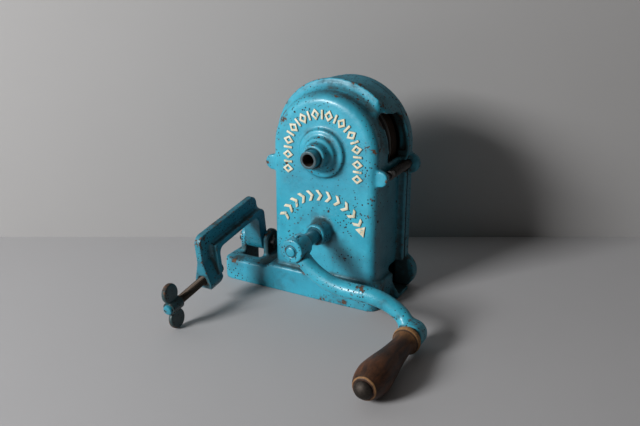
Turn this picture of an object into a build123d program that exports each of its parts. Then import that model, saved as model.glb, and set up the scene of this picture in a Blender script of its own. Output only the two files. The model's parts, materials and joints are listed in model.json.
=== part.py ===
from build123d import *
import math
import os

# Hand-cranked knife cleaner. Millimetres: X to the right, Y to the back, Z up from the table.
# The front face of the casing lies at Y = 0, and both shaft axes lie at X = 0.

# Gear train: tooth heights are in modules
MODULE = 3.0
CRANK_TEETH = 32
PINION_TEETH = 22
PRESSURE_ANGLE = 20.0
ADDENDUM = 0.95
DEDENDUM = 1.25
GEAR_BACKLASH = 0.5
GEAR_WIDTH = 12.0
GEAR_ROOM = 2.65

# Clearances, and how far a cut runs past the face it starts from
PRESS_GAP = 0.02
RUNNING_GAP = 0.05
SIDE_GAP = 0.3
CUT_PAST = 1.0
CHAMFER = 1.0

# Casing
WALL = 4.5
CRANK_Z = 76.0
FRONT_ROUND = 9.0
FLOOR = 6.0
FLANGE_WIDTH = 7.0
FLANGE_DEPTH = 5.0
RIM_RISE = 10.0
RIM_Y = 29.0
RIM_LIP = 3.0
RIM_FLARE = 13.0
FLARE_BULGE = 0.22
FLARE_TURN = 0.62
DRUM_STEP = 8.0
DRUM_DROP = 9.0
SLOT_MARGIN = 2.0
SLOT_HEIGHT = 46.0
SLOT_DROP = 1.0
SLOT_ROUND = 9.0
RELIEF_PROUD = 1.0
RELIEF_BELOW = 5.0
RELIEF_TOP = 34.0
RELIEF_RUN = 14.0
RELIEF_ROUND = 5.0

# Base
PLINTH_TOP = 28.0
PLINTH_SIDE = 5.0
PLINTH_FRONT = 6.5
WING_LENGTH = 57.0
WING_TOP = 24.0
WING_DEPTH = 52.0
BASE_CORNER = 9.0
BASE_EDGE = 2.5
CHUTE_WIDTH = 24.0
CHUTE_TOP_Z = 33.0
CHUTE_REACH = 13.0
CHEEK = 4.0
CHEEK_HEIGHT = 22.0

# Rear cover
COVER_GAP = 0.7
COVER_DEPTH = 13.5
COVER_ROUND = 5.0
COVER_LIFT = 0.5
LOBE_IN = 1.5
LOBE_Z = 18.5
LOBE_RADIUS = 19.5
DOWEL_RADIUS = 2.5
DOWEL_OUT = 0.75
DOWEL_Z = 52.0
DOWEL_SEAT = 4.0
DOWEL_REACH = 7.5
DOWEL_ROOM = 2.0

# Side tension studs
STUD_RADIUS = 2.75
STUD_OUT = 5.0
STUD_DROP = 19.0
LUG_Y = 3.5
LUG_THICK = 6.5
LUG_SKIN = 1.5
LUG_RADIUS = 8.0
LUG_OUT = 2.0
EAR_RADIUS = 10.5
EAR_OUT = 6.5
EAR_THICK = 6.0
EAR_SETBACK = 4.0
COLLAR_WALL = 1.95
COLLAR_LENGTH = 7.0
COLLAR_SETBACK = 8.0
SPRING_WIRE = 0.8
SPRING_GAP = 0.35
SPRING_TURNS = 13
STUD_NUT_WALL = 2.25
STUD_NUT_HEIGHT = 5.0
STUD_WASHER_RIM = 2.0
STUD_SEAT_ROOM = 1.0
STUD_END = 3.5
WASHER_THICK = 1.2

# Emery inlet: each step is wider than the one in front of it
TUBE_BORE = 5.8
TUBE_WALL = 3.0
TUBE_TIP = 29.0
TUBE_MOUTH_ROUND = 0.8
INLET_COLLAR_WALL = 3.8
INLET_COLLAR_RISE = 20.0
INLET_STEP_WIDTH = 4.4
INLET_STEP_RISE = 9.5
INLET_FLANGE_WIDTH = 7.5
INLET_FLANGE_RISE = 4.5
INLET_FLANGE_ROUND = 2.5
LOCK_NUT_WALL = 3.7
LOCK_NUT_HEIGHT = 2.8

# Polishing discs
DISC_ROOM = 1.5
DISC_THICK = 11.0
DISC_BACK_ROOM = 1.0
FELT_THICK = 4.0
FELT_INSET = 1.0
FELT_GAP = 6.0
RING_WALL = 3.2
RING_HEIGHT = 2.4
RING_ROOM = 1.0
PINION_HUB_WALL = 6.0
PINION_FLANGE_THICK = 3.0
PINION_FLANGE_GAP = 1.4
PINION_FLANGE_RIM = 6.0
DISC_SCREW_INSET = 3.2
DISC_SCREW_RADIUS = 1.6
DISC_SCREW_HEAD = 3.2
DISC_SCREW_SLOT = 1.0
DISC_SCREWS = 3
AXLE_RADIUS = 5.0
AXLE_HEAD_WIDTH = 4.0
AXLE_HEAD_THICK = 2.6
AXLE_SLOT = 1.6
AXLE_SHOULDER_WIDTH = 2.5
REAR_BUSH_WALL = 2.5
COVER_BOSS_WALL = 10.0
AXLE_NUT_WALL = 3.0
AXLE_NUT_HEIGHT = 6.5
AXLE_WASHER_RIM = 3.0
AXLE_END = 3.0

# Crank
JOURNAL_RADIUS = 6.0
BUSH_WALL = 2.2
BUSH_LIP = 2.8
BUSH_FLANGE_THICK = 1.8
BOSS_WALL = 2.8
BOSS_TAPER = 2.0
BOSS_LENGTH = 17.0
SHAFT_SHOULDER = 1.0
GEAR_HUB_WALL = 6.0
GEAR_HUB_LENGTH = 16.0
GEAR_WEB = 6.0
GEAR_RIM = 7.0
GEAR_SPOKE_LAND = 3.6
GEAR_HOLES = 5
GEAR_PIN_RADIUS = 2.0
GEAR_PIN_INSET = 0.8
HUB_WALL = 5.8
HUB_FRONT = 62.5
HUB_LENGTH = 21.5
HUB_ROUND = 1.5
HUB_PIN_RADIUS = 2.4
HUB_PIN_PROUD = 1.4
HUB_PIN_ROUND = 0.8
SHAFT_BUTTON = 2.0
SHAFT_BUTTON_STEP = 1.4
SHAFT_BUTTON_ROUND = 1.6
CRANK_THROW_X = 122.5
GRIP_LIFT = 0.6
ARM_RADIUS = 8.0
ARM_LEVEL = 32.0
ARM_LEVEL_START = 56.0
ARM_LEVEL_END = 70.0
EYE_RADIUS = 12.5
EYE_LENGTH = 19.0
EYE_ROUND = 3.5

# Grip: distances run from its root, except the groove and the bead, which run back from its end
GRIP_ROOT_RADIUS = 12.2
GRIP_COLLAR_RADIUS = 13.2
GRIP_COLLAR_AT = 3.0
GRIP_COLLAR_LENGTH = 6.5
GRIP_NECK_RADIUS = 9.9
GRIP_NECK_AT = 15.0
GRIP_MIDDLE_RADIUS = 11.9
GRIP_MIDDLE_AT = 40.0
GRIP_BELLY_RADIUS = 15.6
GRIP_BELLY_AT = 70.0
GRIP_TAIL_RADIUS = 12.6
GRIP_TAIL = 5.0
GROOVE_RADIUS = 10.8
GROOVE_FROM_END = 4.0
BEAD_RADIUS = 11.4
BEAD_FROM_END = 2.8
GRIP_END_RADIUS = 10.6
GRIP_LENGTH = 93.0
SPINDLE_RADIUS = 4.0
SPINDLE_TAIL = 1.5
SPINDLE_HEAD = 8.4
SPINDLE_HEAD_RIM = 1.0
SPINDLE_DOME = 5.5
GRIP_WASHER_RADIUS = 10.0
GRIP_WASHER_THICK = 1.0

# Table clamp: the arm's own sizes run from the hinge, forward along the spine or up from it
CLAMP_OUT = 32.0
PIVOT_Y = 26.5
PIVOT_Z = 38.5
PIVOT_RADIUS = 4.0
PIVOT_HEAD_WIDTH = 2.5
PIVOT_HEAD_THICK = 3.0
PIVOT_HEAD_ROUND = 1.2
PIVOT_END = 4.5
EARS_GAP = 22.5
CLAMP_EAR_THICK = 6.5
CLAMP_EAR_RADIUS = 11.0
CLAMP_EAR_BACK = 3.0
CLAMP_EAR_UP = 2.0
NOTCH_REACH = 14.5
TONGUE_RADIUS = 10.0
TONGUE_BACK = 3.0
TONGUE_FRONT = 9.8
COTTER_RADIUS = 1.0
COTTER_LENGTH = 15.0
SPINE_INNER = 34.5
SPINE_OUTER = 55.0
JAW_INNER = 82.0
JAW_OUTER = 104.0
ARM_WEB = 7.0
ARM_SIDE_ROOM = 0.75
ARM_FLANGE_THICK = 6.0
ARM_CORNER = 9.0
INNER_CORNER = 7.0
ARM_FILLET = 4.0
JAW_END_DROP = 14.5
JAW_END_HALF = 10.0
JAW_END_RISE = 20.0
CLAMP_TILT = 8.0
SCREW_RISE = 6.5
SCREW_RADIUS = 4.5
SCREW_FRONT = 162.0
TENON_STEP = 1.0
PAD_WALL = 2.0
PAD_THICK = 5.5
PAD_FLOOR = 2.0
PAD_ROUND = 1.2
PAD_GAP = 1.5
WING_HUB_WALL = 2.2
WING_HUB_BACK = 143.0
WING_HUB_FRONT = 159.0
WING_MIDDLE = 152.0
WING_TURN = 7.0
WING_HALF = 23.7
WING_LOBE = 10.0
WING_WAIST = 13.6
WING_PLATE = 5.0
WING_ROUND = 1.8
RIVET_WIDTH = 1.3
RIVET_ROUND = 1.5

# Widths that wrap one another, from the crank gear outwards
INNER_HALF = MODULE * (CRANK_TEETH / 2 + ADDENDUM) + GEAR_ROOM
CASE_HALF = INNER_HALF + WALL
FLANGE_HALF = CASE_HALF + FLANGE_WIDTH
RIM_RADIUS = CASE_HALF + RIM_RISE
DRUM_RADIUS = CASE_HALF + DRUM_STEP
PLINTH_HALF = CASE_HALF + PLINTH_SIDE
LOBE_X = CASE_HALF - LOBE_IN
DOWEL_X = CASE_HALF + DOWEL_OUT
STUD_X = CASE_HALF + STUD_OUT
LUG_X = CASE_HALF + LUG_OUT
EAR_X = CASE_HALF + EAR_OUT
DISC_RADIUS = INNER_HALF - DISC_ROOM
FELT_RADIUS = DISC_RADIUS - FELT_INSET

# Heights
DISC_Z = CRANK_Z + MODULE * (CRANK_TEETH + PINION_TEETH) / 2
DRUM_SHOULDER_Z = DISC_Z - DRUM_DROP
STUD_Z = DISC_Z - STUD_DROP
CRANK_EYE_Z = GRIP_BELLY_RADIUS + GRIP_LIFT

# Depths, from the front wall to the back
GEAR_HUB_Y = WALL + BUSH_FLANGE_THICK + SIDE_GAP
GEAR_HUB_BACK_Y = GEAR_HUB_Y + GEAR_HUB_LENGTH
GEAR_Y = GEAR_HUB_Y + (GEAR_HUB_LENGTH - GEAR_WIDTH) / 2
GEAR_PIN_Y = GEAR_HUB_BACK_Y - GEAR_PIN_RADIUS - GEAR_PIN_INSET
PINION_FLANGE_Y = GEAR_Y + GEAR_WIDTH + PINION_FLANGE_GAP
DISC_FRONT_Y = PINION_FLANGE_Y + PINION_FLANGE_THICK
FRONT_FELT_Y = DISC_FRONT_Y + DISC_THICK
REAR_FELT_Y = FRONT_FELT_Y + FELT_THICK + FELT_GAP
REAR_DISC_Y = REAR_FELT_Y + FELT_THICK
REAR_DISC_BACK_Y = REAR_DISC_Y + DISC_THICK
CASE_DEPTH = REAR_DISC_BACK_Y + DISC_BACK_ROOM
CHUTE_FRONT_Y = CASE_DEPTH - CHUTE_WIDTH
SLOT_FRONT_Y = RIM_Y - RIM_LIP / 2
SLOT_WIDTH = CASE_DEPTH - SLOT_FRONT_Y - SLOT_MARGIN
COVER_FRONT_Y = CASE_DEPTH + COVER_GAP
COVER_BACK_Y = COVER_FRONT_Y + COVER_DEPTH
EAR_Y = COVER_FRONT_Y + EAR_SETBACK
EAR_BACK_Y = EAR_Y + EAR_THICK
LUG_BACK_Y = LUG_Y + LUG_THICK
STUD_FRONT_Y = LUG_Y + LUG_SKIN
COLLAR_Y = LUG_BACK_Y + COLLAR_SETBACK
SPRING_Y = COLLAR_Y + COLLAR_LENGTH
HUB_MID_Y = -HUB_FRONT + HUB_LENGTH / 2
GRIP_ROOT_Y = -HUB_FRONT - GRIP_WASHER_THICK - SIDE_GAP
GRIP_END_Y = GRIP_ROOT_Y - GRIP_LENGTH

# Radii that fit over or around one another
TUBE_RADIUS = TUBE_BORE + TUBE_WALL
INLET_COLLAR_RADIUS = TUBE_RADIUS + INLET_COLLAR_WALL
INLET_STEP_RADIUS = INLET_COLLAR_RADIUS + INLET_STEP_WIDTH
INLET_FLANGE_RADIUS = INLET_STEP_RADIUS + INLET_FLANGE_WIDTH
RING_RADIUS = TUBE_RADIUS + RING_WALL
FELT_HOLE = RING_RADIUS + RING_ROOM
PINION_HUB_RADIUS = TUBE_RADIUS + PINION_HUB_WALL
DISC_SCREW_CIRCLE = PINION_HUB_RADIUS + DISC_SCREW_INSET
PINION_FLANGE_RADIUS = DISC_SCREW_CIRCLE + PINION_FLANGE_RIM
AXLE_HEAD_RADIUS = AXLE_RADIUS + AXLE_HEAD_WIDTH
AXLE_SHOULDER = AXLE_RADIUS + AXLE_SHOULDER_WIDTH
REAR_BUSH_RADIUS = AXLE_RADIUS + REAR_BUSH_WALL
COVER_BOSS_RADIUS = AXLE_RADIUS + COVER_BOSS_WALL
AXLE_NUT_FLATS = 2 * (AXLE_RADIUS + AXLE_NUT_WALL)
AXLE_WASHER_RADIUS = AXLE_NUT_FLATS / 2 + AXLE_WASHER_RIM
LOCK_NUT_FLATS = 2 * (TUBE_RADIUS + LOCK_NUT_WALL)
COLLAR_RADIUS = STUD_RADIUS + COLLAR_WALL
SPRING_COIL = STUD_RADIUS + SPRING_WIRE + SPRING_GAP
STUD_NUT_FLATS = 2 * (STUD_RADIUS + STUD_NUT_WALL)
STUD_WASHER_RADIUS = STUD_NUT_FLATS / 2 + STUD_WASHER_RIM
BUSH_RADIUS = JOURNAL_RADIUS + BUSH_WALL
BUSH_FLANGE = BUSH_RADIUS + BUSH_LIP
BOSS_FRONT = BUSH_RADIUS + BOSS_WALL
BOSS_ROOT = BOSS_FRONT + BOSS_TAPER
SHAFT_RADIUS = JOURNAL_RADIUS + SHAFT_SHOULDER
GEAR_HUB_RADIUS = JOURNAL_RADIUS + GEAR_HUB_WALL
HUB_RADIUS = JOURNAL_RADIUS + HUB_WALL
PIVOT_HEAD_RADIUS = PIVOT_RADIUS + PIVOT_HEAD_WIDTH
TENON_RADIUS = SCREW_RADIUS - TENON_STEP
PAD_RADIUS = SCREW_RADIUS + PAD_WALL
WING_HUB_RADIUS = SCREW_RADIUS + WING_HUB_WALL
RIVET_RADIUS = TENON_RADIUS + RIVET_WIDTH

# The clamp's place on the foot
CLAMP_X = -PLINTH_HALF - CLAMP_OUT
EAR_INNER_LEFT = CLAMP_X - EARS_GAP / 2
EAR_INNER_RIGHT = CLAMP_X + EARS_GAP / 2
CLAMP_EAR_Y = PIVOT_Y + CLAMP_EAR_BACK
CLAMP_EAR_Z = PIVOT_Z + CLAMP_EAR_UP
ARM_FLANGE = EARS_GAP - 2 * ARM_SIDE_ROOM
PAD_FACE = JAW_INNER - PAD_GAP - PAD_THICK


def box_between(low, high):
    """A box from its lowest to its highest corner."""
    size = [b - a for a, b in zip(low, high)]
    middle = [(a + b) / 2 for a, b in zip(low, high)]
    return Pos(*middle) * Box(*size)


def cylinder_y(radius, y0, y1, x=0.0, z=0.0):
    return Pos(x, (y0 + y1) / 2, z) * Rot(90, 0, 0) * Cylinder(radius, y1 - y0)


def cylinder_x(radius, x0, x1, y=0.0, z=0.0):
    return Pos((x0 + x1) / 2, y, z) * Rot(0, 90, 0) * Cylinder(radius, x1 - x0)


def prism_y(face, y0, y1):
    """Extrudes a face drawn as (X, Z) from y0 to y1."""
    plane = Plane(origin=(0, y0, 0), x_dir=(1, 0, 0), z_dir=(0, -1, 0))
    return extrude(plane * face, amount=y1 - y0, dir=(0, 1, 0))


def prism_x(face, x0, x1):
    """Extrudes a face drawn as (Y, Z) from x0 to x1."""
    plane = Plane(origin=(x0, 0, 0), x_dir=(0, 1, 0), z_dir=(1, 0, 0))
    return extrude(plane * face, amount=x1 - x0, dir=(1, 0, 0))


def turned_y(outline, x=0.0, z=0.0):
    """Turns a closed outline of (radius, Y) edges about an axis along Y."""
    return Pos(x, 0, z) * revolve(make_face(outline), Axis.Y, 360)


def hexagon(flats):
    return RegularPolygon(flats / 2, 6, major_radius=False)


def hex_nut(flats, bore, y0, y1, x, z):
    face = Pos(x, z) * (hexagon(flats) - Circle(bore))
    return prism_y(face, y0, y1)


def ring_y(outer, inner, y0, y1, x=0.0, z=0.0):
    return cylinder_y(outer, y0, y1, x, z) - cylinder_y(inner, y0 - CUT_PAST, y1 + CUT_PAST, x, z)


def arch_face(half, foot):
    """The casing outline: straight sides from the foot, closed by a half circle about the disc axis."""
    sides = Polyline((-half, DISC_Z), (-half, foot), (half, foot), (half, DISC_Z))
    top = ThreePointArc((half, DISC_Z), (0, DISC_Z + half), (-half, DISC_Z))
    return make_face(sides + top)


def tooth_half_angle(teeth, radius):
    """Half the angle that an involute tooth takes up at a radius."""
    pitch = MODULE * teeth / 2
    base = pitch * math.cos(math.radians(PRESSURE_ANGLE))
    at_pitch = (math.pi * MODULE / 2 - GEAR_BACKLASH / 2) / (2 * pitch)
    pitch_turn = math.tan(math.radians(PRESSURE_ANGLE)) - math.radians(PRESSURE_ANGLE)
    slope = math.acos(min(1.0, base / radius))
    return at_pitch + pitch_turn - (math.tan(slope) - slope)


def gear_face(teeth, first_angle):
    """A spur gear outline about the origin, with a tooth at first_angle degrees."""
    pitch = MODULE * teeth / 2
    tip = pitch + ADDENDUM * MODULE
    root = pitch - DEDENDUM * MODULE
    start = max(root, pitch * math.cos(math.radians(PRESSURE_ANGLE)))
    middle = (start + tip) / 2

    def point(radius, angle):
        return (radius * math.cos(angle), radius * math.sin(angle))

    edges = []
    for number in range(teeth):
        at = math.radians(first_angle) + number * math.tau / teeth
        low, mid, high = [tooth_half_angle(teeth, r) for r in (start, middle, tip)]
        following = at + math.tau / teeth - low
        edges.append(Line(point(root, at - low), point(start, at - low)))
        edges.append(ThreePointArc(point(start, at - low), point(middle, at - mid), point(tip, at - high)))
        edges.append(Line(point(tip, at - high), point(tip, at + high)))
        edges.append(ThreePointArc(point(tip, at + high), point(middle, at + mid), point(start, at + low)))
        edges.append(Line(point(start, at + low), point(root, at + low)))
        edges.append(Line(point(root, at + low), point(root, following)))
    return make_face(Wire(edges))


def casing_shell():
    """The arched gear case, its flared rim and the drum behind it, still solid."""
    case = prism_y(arch_face(CASE_HALF, 0), 0, CASE_DEPTH)
    front_edges = case.faces().sort_by(Axis.Y)[0].edges().filter_by(lambda e: e.center().Z > CUT_PAST)
    case = fillet(front_edges, FRONT_ROUND)
    flare_y = RIM_Y - RIM_FLARE
    flare_low = (CASE_HALF - WALL / 2, flare_y)
    flare_end = (RIM_RADIUS, RIM_Y - RIM_LIP / 2)
    flare_mid = (CASE_HALF + FLARE_BULGE * RIM_RISE, flare_y + FLARE_TURN * RIM_FLARE)
    rim_back = RIM_Y + RIM_LIP / 2
    outline = Line(flare_low, (CASE_HALF, flare_y))
    outline += ThreePointArc((CASE_HALF, flare_y), flare_mid, flare_end)
    outline += ThreePointArc(flare_end, (RIM_RADIUS + RIM_LIP / 3, RIM_Y), (RIM_RADIUS, rim_back))
    outline += Polyline((RIM_RADIUS, rim_back), (CASE_HALF - WALL / 2, rim_back), flare_low)
    rim = Pos(0, 0, DISC_Z) * Rot(0, 180, 0) * revolve(make_face(outline), Axis.Y, 180)
    drum_face = arch_face(DRUM_RADIUS, DRUM_SHOULDER_Z)
    drum = prism_y(drum_face, RIM_Y, CASE_DEPTH)
    flange = prism_y(arch_face(FLANGE_HALF, 0), CASE_DEPTH - FLANGE_DEPTH, CASE_DEPTH)
    return case + rim + drum + flange


def base_block():
    """The plinth under the casing, with the long foot on the left that carries the clamp."""
    plinth = box_between((-PLINTH_HALF, -PLINTH_FRONT, 0), (PLINTH_HALF, CASE_DEPTH, PLINTH_TOP))
    corner = plinth.edges().filter_by(Axis.Z).sort_by(lambda e: e.center().Y - e.center().X)[0]
    plinth = fillet(corner, BASE_CORNER)
    left = -PLINTH_HALF - WING_LENGTH
    foot = box_between((left, -PLINTH_FRONT, 0), (-CASE_HALF, WING_DEPTH - PLINTH_FRONT, WING_TOP))
    foot = fillet(foot.edges().filter_by(Axis.Z).sort_by(Axis.X)[:2], BASE_CORNER)
    foot_top = foot.faces().sort_by(Axis.Z)[-1].edges()
    foot = fillet(foot_top.filter_by(lambda e: e.center().X < -CASE_HALF - CUT_PAST), BASE_EDGE)
    plinth_top = plinth.faces().sort_by(Axis.Z)[-1].edges()
    plinth = fillet(plinth_top.filter_by(lambda e: e.center().Y < CASE_DEPTH - CUT_PAST), BASE_EDGE)
    notch = box_between(
        (EAR_INNER_LEFT, PIVOT_Y - NOTCH_REACH, -CUT_PAST),
        (EAR_INNER_RIGHT, WING_DEPTH, WING_TOP + CUT_PAST),
    )
    return plinth + (foot - notch)


def clamp_ears():
    ears = Part()
    profile = Pos(CLAMP_EAR_Y, CLAMP_EAR_Z) * Circle(CLAMP_EAR_RADIUS)
    height = CLAMP_EAR_Z - WING_TOP + CUT_PAST
    profile += Pos(CLAMP_EAR_Y, CLAMP_EAR_Z - height / 2) * Rectangle(2 * CLAMP_EAR_RADIUS, height)
    for inner, outward in ((EAR_INNER_LEFT, -1), (EAR_INNER_RIGHT, 1)):
        outer = inner + outward * CLAMP_EAR_THICK
        ears += prism_x(profile, min(inner, outer), max(inner, outer))
    return ears


def chute():
    """The dust chute at the foot of the right side: a floor and a sloping front cheek."""
    reach = CASE_HALF + CHUTE_REACH
    floor = box_between((INNER_HALF, CHUTE_FRONT_Y - CHEEK, 0), (reach, CASE_DEPTH, CHEEK))
    slope = Polyline(
        (INNER_HALF, 0),
        (reach, 0),
        (reach, CHEEK),
        (CASE_HALF + WALL / 2, CHEEK_HEIGHT),
        (INNER_HALF, CHEEK_HEIGHT),
        close=True,
    )
    return floor + prism_y(make_face(slope), CHUTE_FRONT_Y - CHEEK, CHUTE_FRONT_Y)


def inlet_boss():
    """The stepped boss that holds the inlet tube, with a rounded edge on its flange."""
    face_y = -INLET_FLANGE_RISE
    edge_y = face_y + INLET_FLANGE_ROUND
    edge_radius = INLET_FLANGE_RADIUS - INLET_FLANGE_ROUND
    inset = INLET_FLANGE_ROUND * (1 - math.sqrt(0.5))
    outline = Polyline((0, WALL), (INLET_FLANGE_RADIUS, WALL), (INLET_FLANGE_RADIUS, edge_y))
    outline += ThreePointArc(
        (INLET_FLANGE_RADIUS, edge_y),
        (INLET_FLANGE_RADIUS - inset, face_y + inset),
        (edge_radius, face_y),
    )
    outline += Polyline(
        (edge_radius, face_y),
        (INLET_STEP_RADIUS + CHAMFER, face_y),
        (INLET_STEP_RADIUS, -INLET_STEP_RISE + CHAMFER),
        (INLET_STEP_RADIUS - CHAMFER, -INLET_STEP_RISE),
        (INLET_COLLAR_RADIUS + CHAMFER, -INLET_STEP_RISE),
        (INLET_COLLAR_RADIUS, -INLET_COLLAR_RISE + CHAMFER),
        (INLET_COLLAR_RADIUS - CHAMFER, -INLET_COLLAR_RISE),
        (0, -INLET_COLLAR_RISE),
        (0, WALL),
    )
    return turned_y(outline, 0, DISC_Z)


def crank_boss():
    outline = Polyline(
        (0, WALL),
        (BOSS_ROOT, WALL),
        (BOSS_ROOT, 0),
        (BOSS_FRONT, -BOSS_LENGTH + CHAMFER),
        (BOSS_FRONT - CHAMFER, -BOSS_LENGTH),
        (0, -BOSS_LENGTH),
        close=True,
    )
    return turned_y(outline, 0, CRANK_Z)


def knife_slot():
    """The round-topped opening in the right side of the drum, drawn as (Y, Z)."""
    foot = DRUM_SHOULDER_Z - SLOT_DROP
    profile = Pos(SLOT_FRONT_Y + SLOT_WIDTH / 2, foot + SLOT_HEIGHT / 2) * Rectangle(SLOT_WIDTH, SLOT_HEIGHT)
    profile = fillet(profile.vertices().sort_by(Axis.Y)[-2:], SLOT_ROUND)
    return prism_x(profile, INNER_HALF - 2 * FRONT_ROUND, RIM_RADIUS + CHUTE_REACH)


def rim_relief():
    """The hollow beside the slot, where the flared rim draws in to the case, drawn as (X, Z)."""

    def about_disc(radius, degrees):
        angle = math.radians(degrees)
        return radius * math.cos(angle), DISC_Z + radius * math.sin(angle)

    inner = CASE_HALF + RELIEF_PROUD
    low = about_disc(inner, -RELIEF_BELOW)
    middle = about_disc(inner, (RELIEF_TOP - RELIEF_BELOW) / 2)
    top = about_disc(inner, RELIEF_TOP)
    high = about_disc(RIM_RADIUS + RIM_RISE, RELIEF_TOP + RELIEF_RUN)
    past = 2 * RIM_RADIUS
    outline = ThreePointArc(low, middle, top) + Polyline(top, high, (past, high[1]), (past, low[1]), low)
    profile = make_face(outline)
    profile = fillet(profile.vertices().sort_by_distance(top)[0], RELIEF_ROUND)
    return prism_y(profile, RIM_Y - RIM_FLARE - CUT_PAST, RIM_Y + RIM_LIP / 2)


def front_casing():
    solid = casing_shell() + base_block() + clamp_ears() + chute()
    for side in (-1, 1):
        solid += cylinder_y(LUG_RADIUS, LUG_Y, LUG_BACK_Y, side * LUG_X, STUD_Z)
    past_back = CASE_DEPTH + CUT_PAST
    solid -= prism_y(arch_face(INNER_HALF, FLOOR), WALL, past_back)
    drum_face = arch_face(DRUM_RADIUS - WALL, DRUM_SHOULDER_Z + WALL)
    solid -= prism_y(drum_face, RIM_Y - RIM_LIP / 2, past_back)
    solid -= knife_slot()
    solid -= rim_relief()
    solid = solid + inlet_boss() + crank_boss()
    solid -= cylinder_y(TUBE_RADIUS + PRESS_GAP, -TUBE_TIP, WALL + CUT_PAST, 0, DISC_Z)
    solid -= cylinder_y(BUSH_RADIUS + PRESS_GAP, -HUB_FRONT, WALL + CUT_PAST, 0, CRANK_Z)
    solid -= box_between(
        (INNER_HALF - CUT_PAST, CHUTE_FRONT_Y, CHEEK),
        (CASE_HALF + CHUTE_REACH + CUT_PAST, past_back, CHUTE_TOP_Z),
    )
    collar_room = COLLAR_RADIUS + 2 * SIDE_GAP
    dowel_bore = DOWEL_RADIUS + PRESS_GAP
    for side in (-1, 1):
        x = side * STUD_X
        solid -= cylinder_y(collar_room, LUG_BACK_Y, past_back, x, STUD_Z)
        solid -= cylinder_y(STUD_RADIUS + PRESS_GAP, STUD_FRONT_Y, LUG_BACK_Y + CUT_PAST, x, STUD_Z)
        solid -= cylinder_y(dowel_bore, CASE_DEPTH - DOWEL_SEAT, past_back, side * DOWEL_X, DOWEL_Z)
    pin_left = EAR_INNER_LEFT - CLAMP_EAR_THICK - CUT_PAST
    pin_right = EAR_INNER_RIGHT + CLAMP_EAR_THICK + CUT_PAST
    return solid - cylinder_x(PIVOT_RADIUS + PRESS_GAP, pin_left, pin_right, PIVOT_Y, PIVOT_Z)


def rear_cover():
    plate = prism_y(arch_face(FLANGE_HALF, COVER_LIFT), COVER_FRONT_Y, COVER_BACK_Y)
    lobe = cylinder_y(LOBE_RADIUS, COVER_FRONT_Y, COVER_BACK_Y, LOBE_X, LOBE_Z)
    below = box_between(
        (0, COVER_FRONT_Y - CUT_PAST, LOBE_Z - 2 * LOBE_RADIUS),
        (LOBE_X + 2 * LOBE_RADIUS, COVER_BACK_Y + CUT_PAST, COVER_LIFT),
    )
    solid = plate + (lobe - below)
    back_edges = solid.faces().sort_by(Axis.Y)[-1].edges()
    solid = fillet(back_edges.filter_by(lambda e: e.center().Z > COVER_LIFT + CUT_PAST), COVER_ROUND)
    before = COVER_FRONT_Y - CUT_PAST
    after = COVER_BACK_Y + CUT_PAST
    solid -= prism_y(arch_face(INNER_HALF, FLOOR), before, COVER_BACK_Y - WALL)
    solid += cylinder_y(COVER_BOSS_RADIUS, COVER_FRONT_Y, COVER_BACK_Y, 0, DISC_Z)
    hollow = prism_y(arch_face(INNER_HALF + CUT_PAST, FLOOR), before, after)
    for side in (-1, 1):
        solid += cylinder_y(EAR_RADIUS, EAR_Y, EAR_BACK_Y, side * EAR_X, STUD_Z) - hollow
    guide = DOWEL_RADIUS + RUNNING_GAP
    guide_end = COVER_FRONT_Y + DOWEL_REACH + DOWEL_ROOM
    for side in (-1, 1):
        x = side * STUD_X
        solid -= cylinder_y(COLLAR_RADIUS + 2 * SIDE_GAP, before, EAR_Y, x, STUD_Z)
        solid -= cylinder_y(STUD_RADIUS + SIDE_GAP, before, after, x, STUD_Z)
        solid -= cylinder_y(STUD_WASHER_RADIUS + STUD_SEAT_ROOM, EAR_BACK_Y, after, x, STUD_Z)
        solid -= cylinder_y(guide, before, guide_end, side * DOWEL_X, DOWEL_Z)
    return solid - cylinder_y(AXLE_RADIUS + PRESS_GAP, before, after, 0, DISC_Z)


def cover_dowels():
    front = CASE_DEPTH - DOWEL_SEAT
    back = COVER_FRONT_Y + DOWEL_REACH
    pins = [cylinder_y(DOWEL_RADIUS, front, back, side * DOWEL_X, DOWEL_Z) for side in (-1, 1)]
    return Compound(children=pins)


def inlet_tube():
    end = FRONT_FELT_Y + SIDE_GAP + RING_HEIGHT
    tube = ring_y(TUBE_RADIUS, TUBE_BORE, -TUBE_TIP, end, 0, DISC_Z)
    mouth = tube.faces().sort_by(Axis.Y)[0].edges()
    return fillet(mouth, TUBE_MOUTH_ROUND)


def pinion():
    face = Pos(0, DISC_Z) * gear_face(PINION_TEETH, 270 + 180 / PINION_TEETH)
    blank = prism_y(face, GEAR_Y, GEAR_Y + GEAR_WIDTH)
    blank += cylinder_y(PINION_FLANGE_RADIUS, PINION_FLANGE_Y, DISC_FRONT_Y, 0, DISC_Z)
    blank += cylinder_y(PINION_HUB_RADIUS, GEAR_Y, DISC_FRONT_Y, 0, DISC_Z)
    screw_hole = DISC_SCREW_RADIUS + PRESS_GAP
    for x, z in screw_places():
        blank -= cylinder_y(screw_hole, PINION_FLANGE_Y - CUT_PAST, DISC_FRONT_Y + CUT_PAST, x, z)
    return blank - cylinder_y(TUBE_RADIUS + RUNNING_GAP, 0, DISC_FRONT_Y + CUT_PAST, 0, DISC_Z)


def screw_places():
    places = []
    for number in range(DISC_SCREWS):
        angle = math.radians(90 + 360 * number / DISC_SCREWS)
        x = DISC_SCREW_CIRCLE * math.cos(angle)
        places.append((x, DISC_Z + DISC_SCREW_CIRCLE * math.sin(angle)))
    return places


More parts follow.
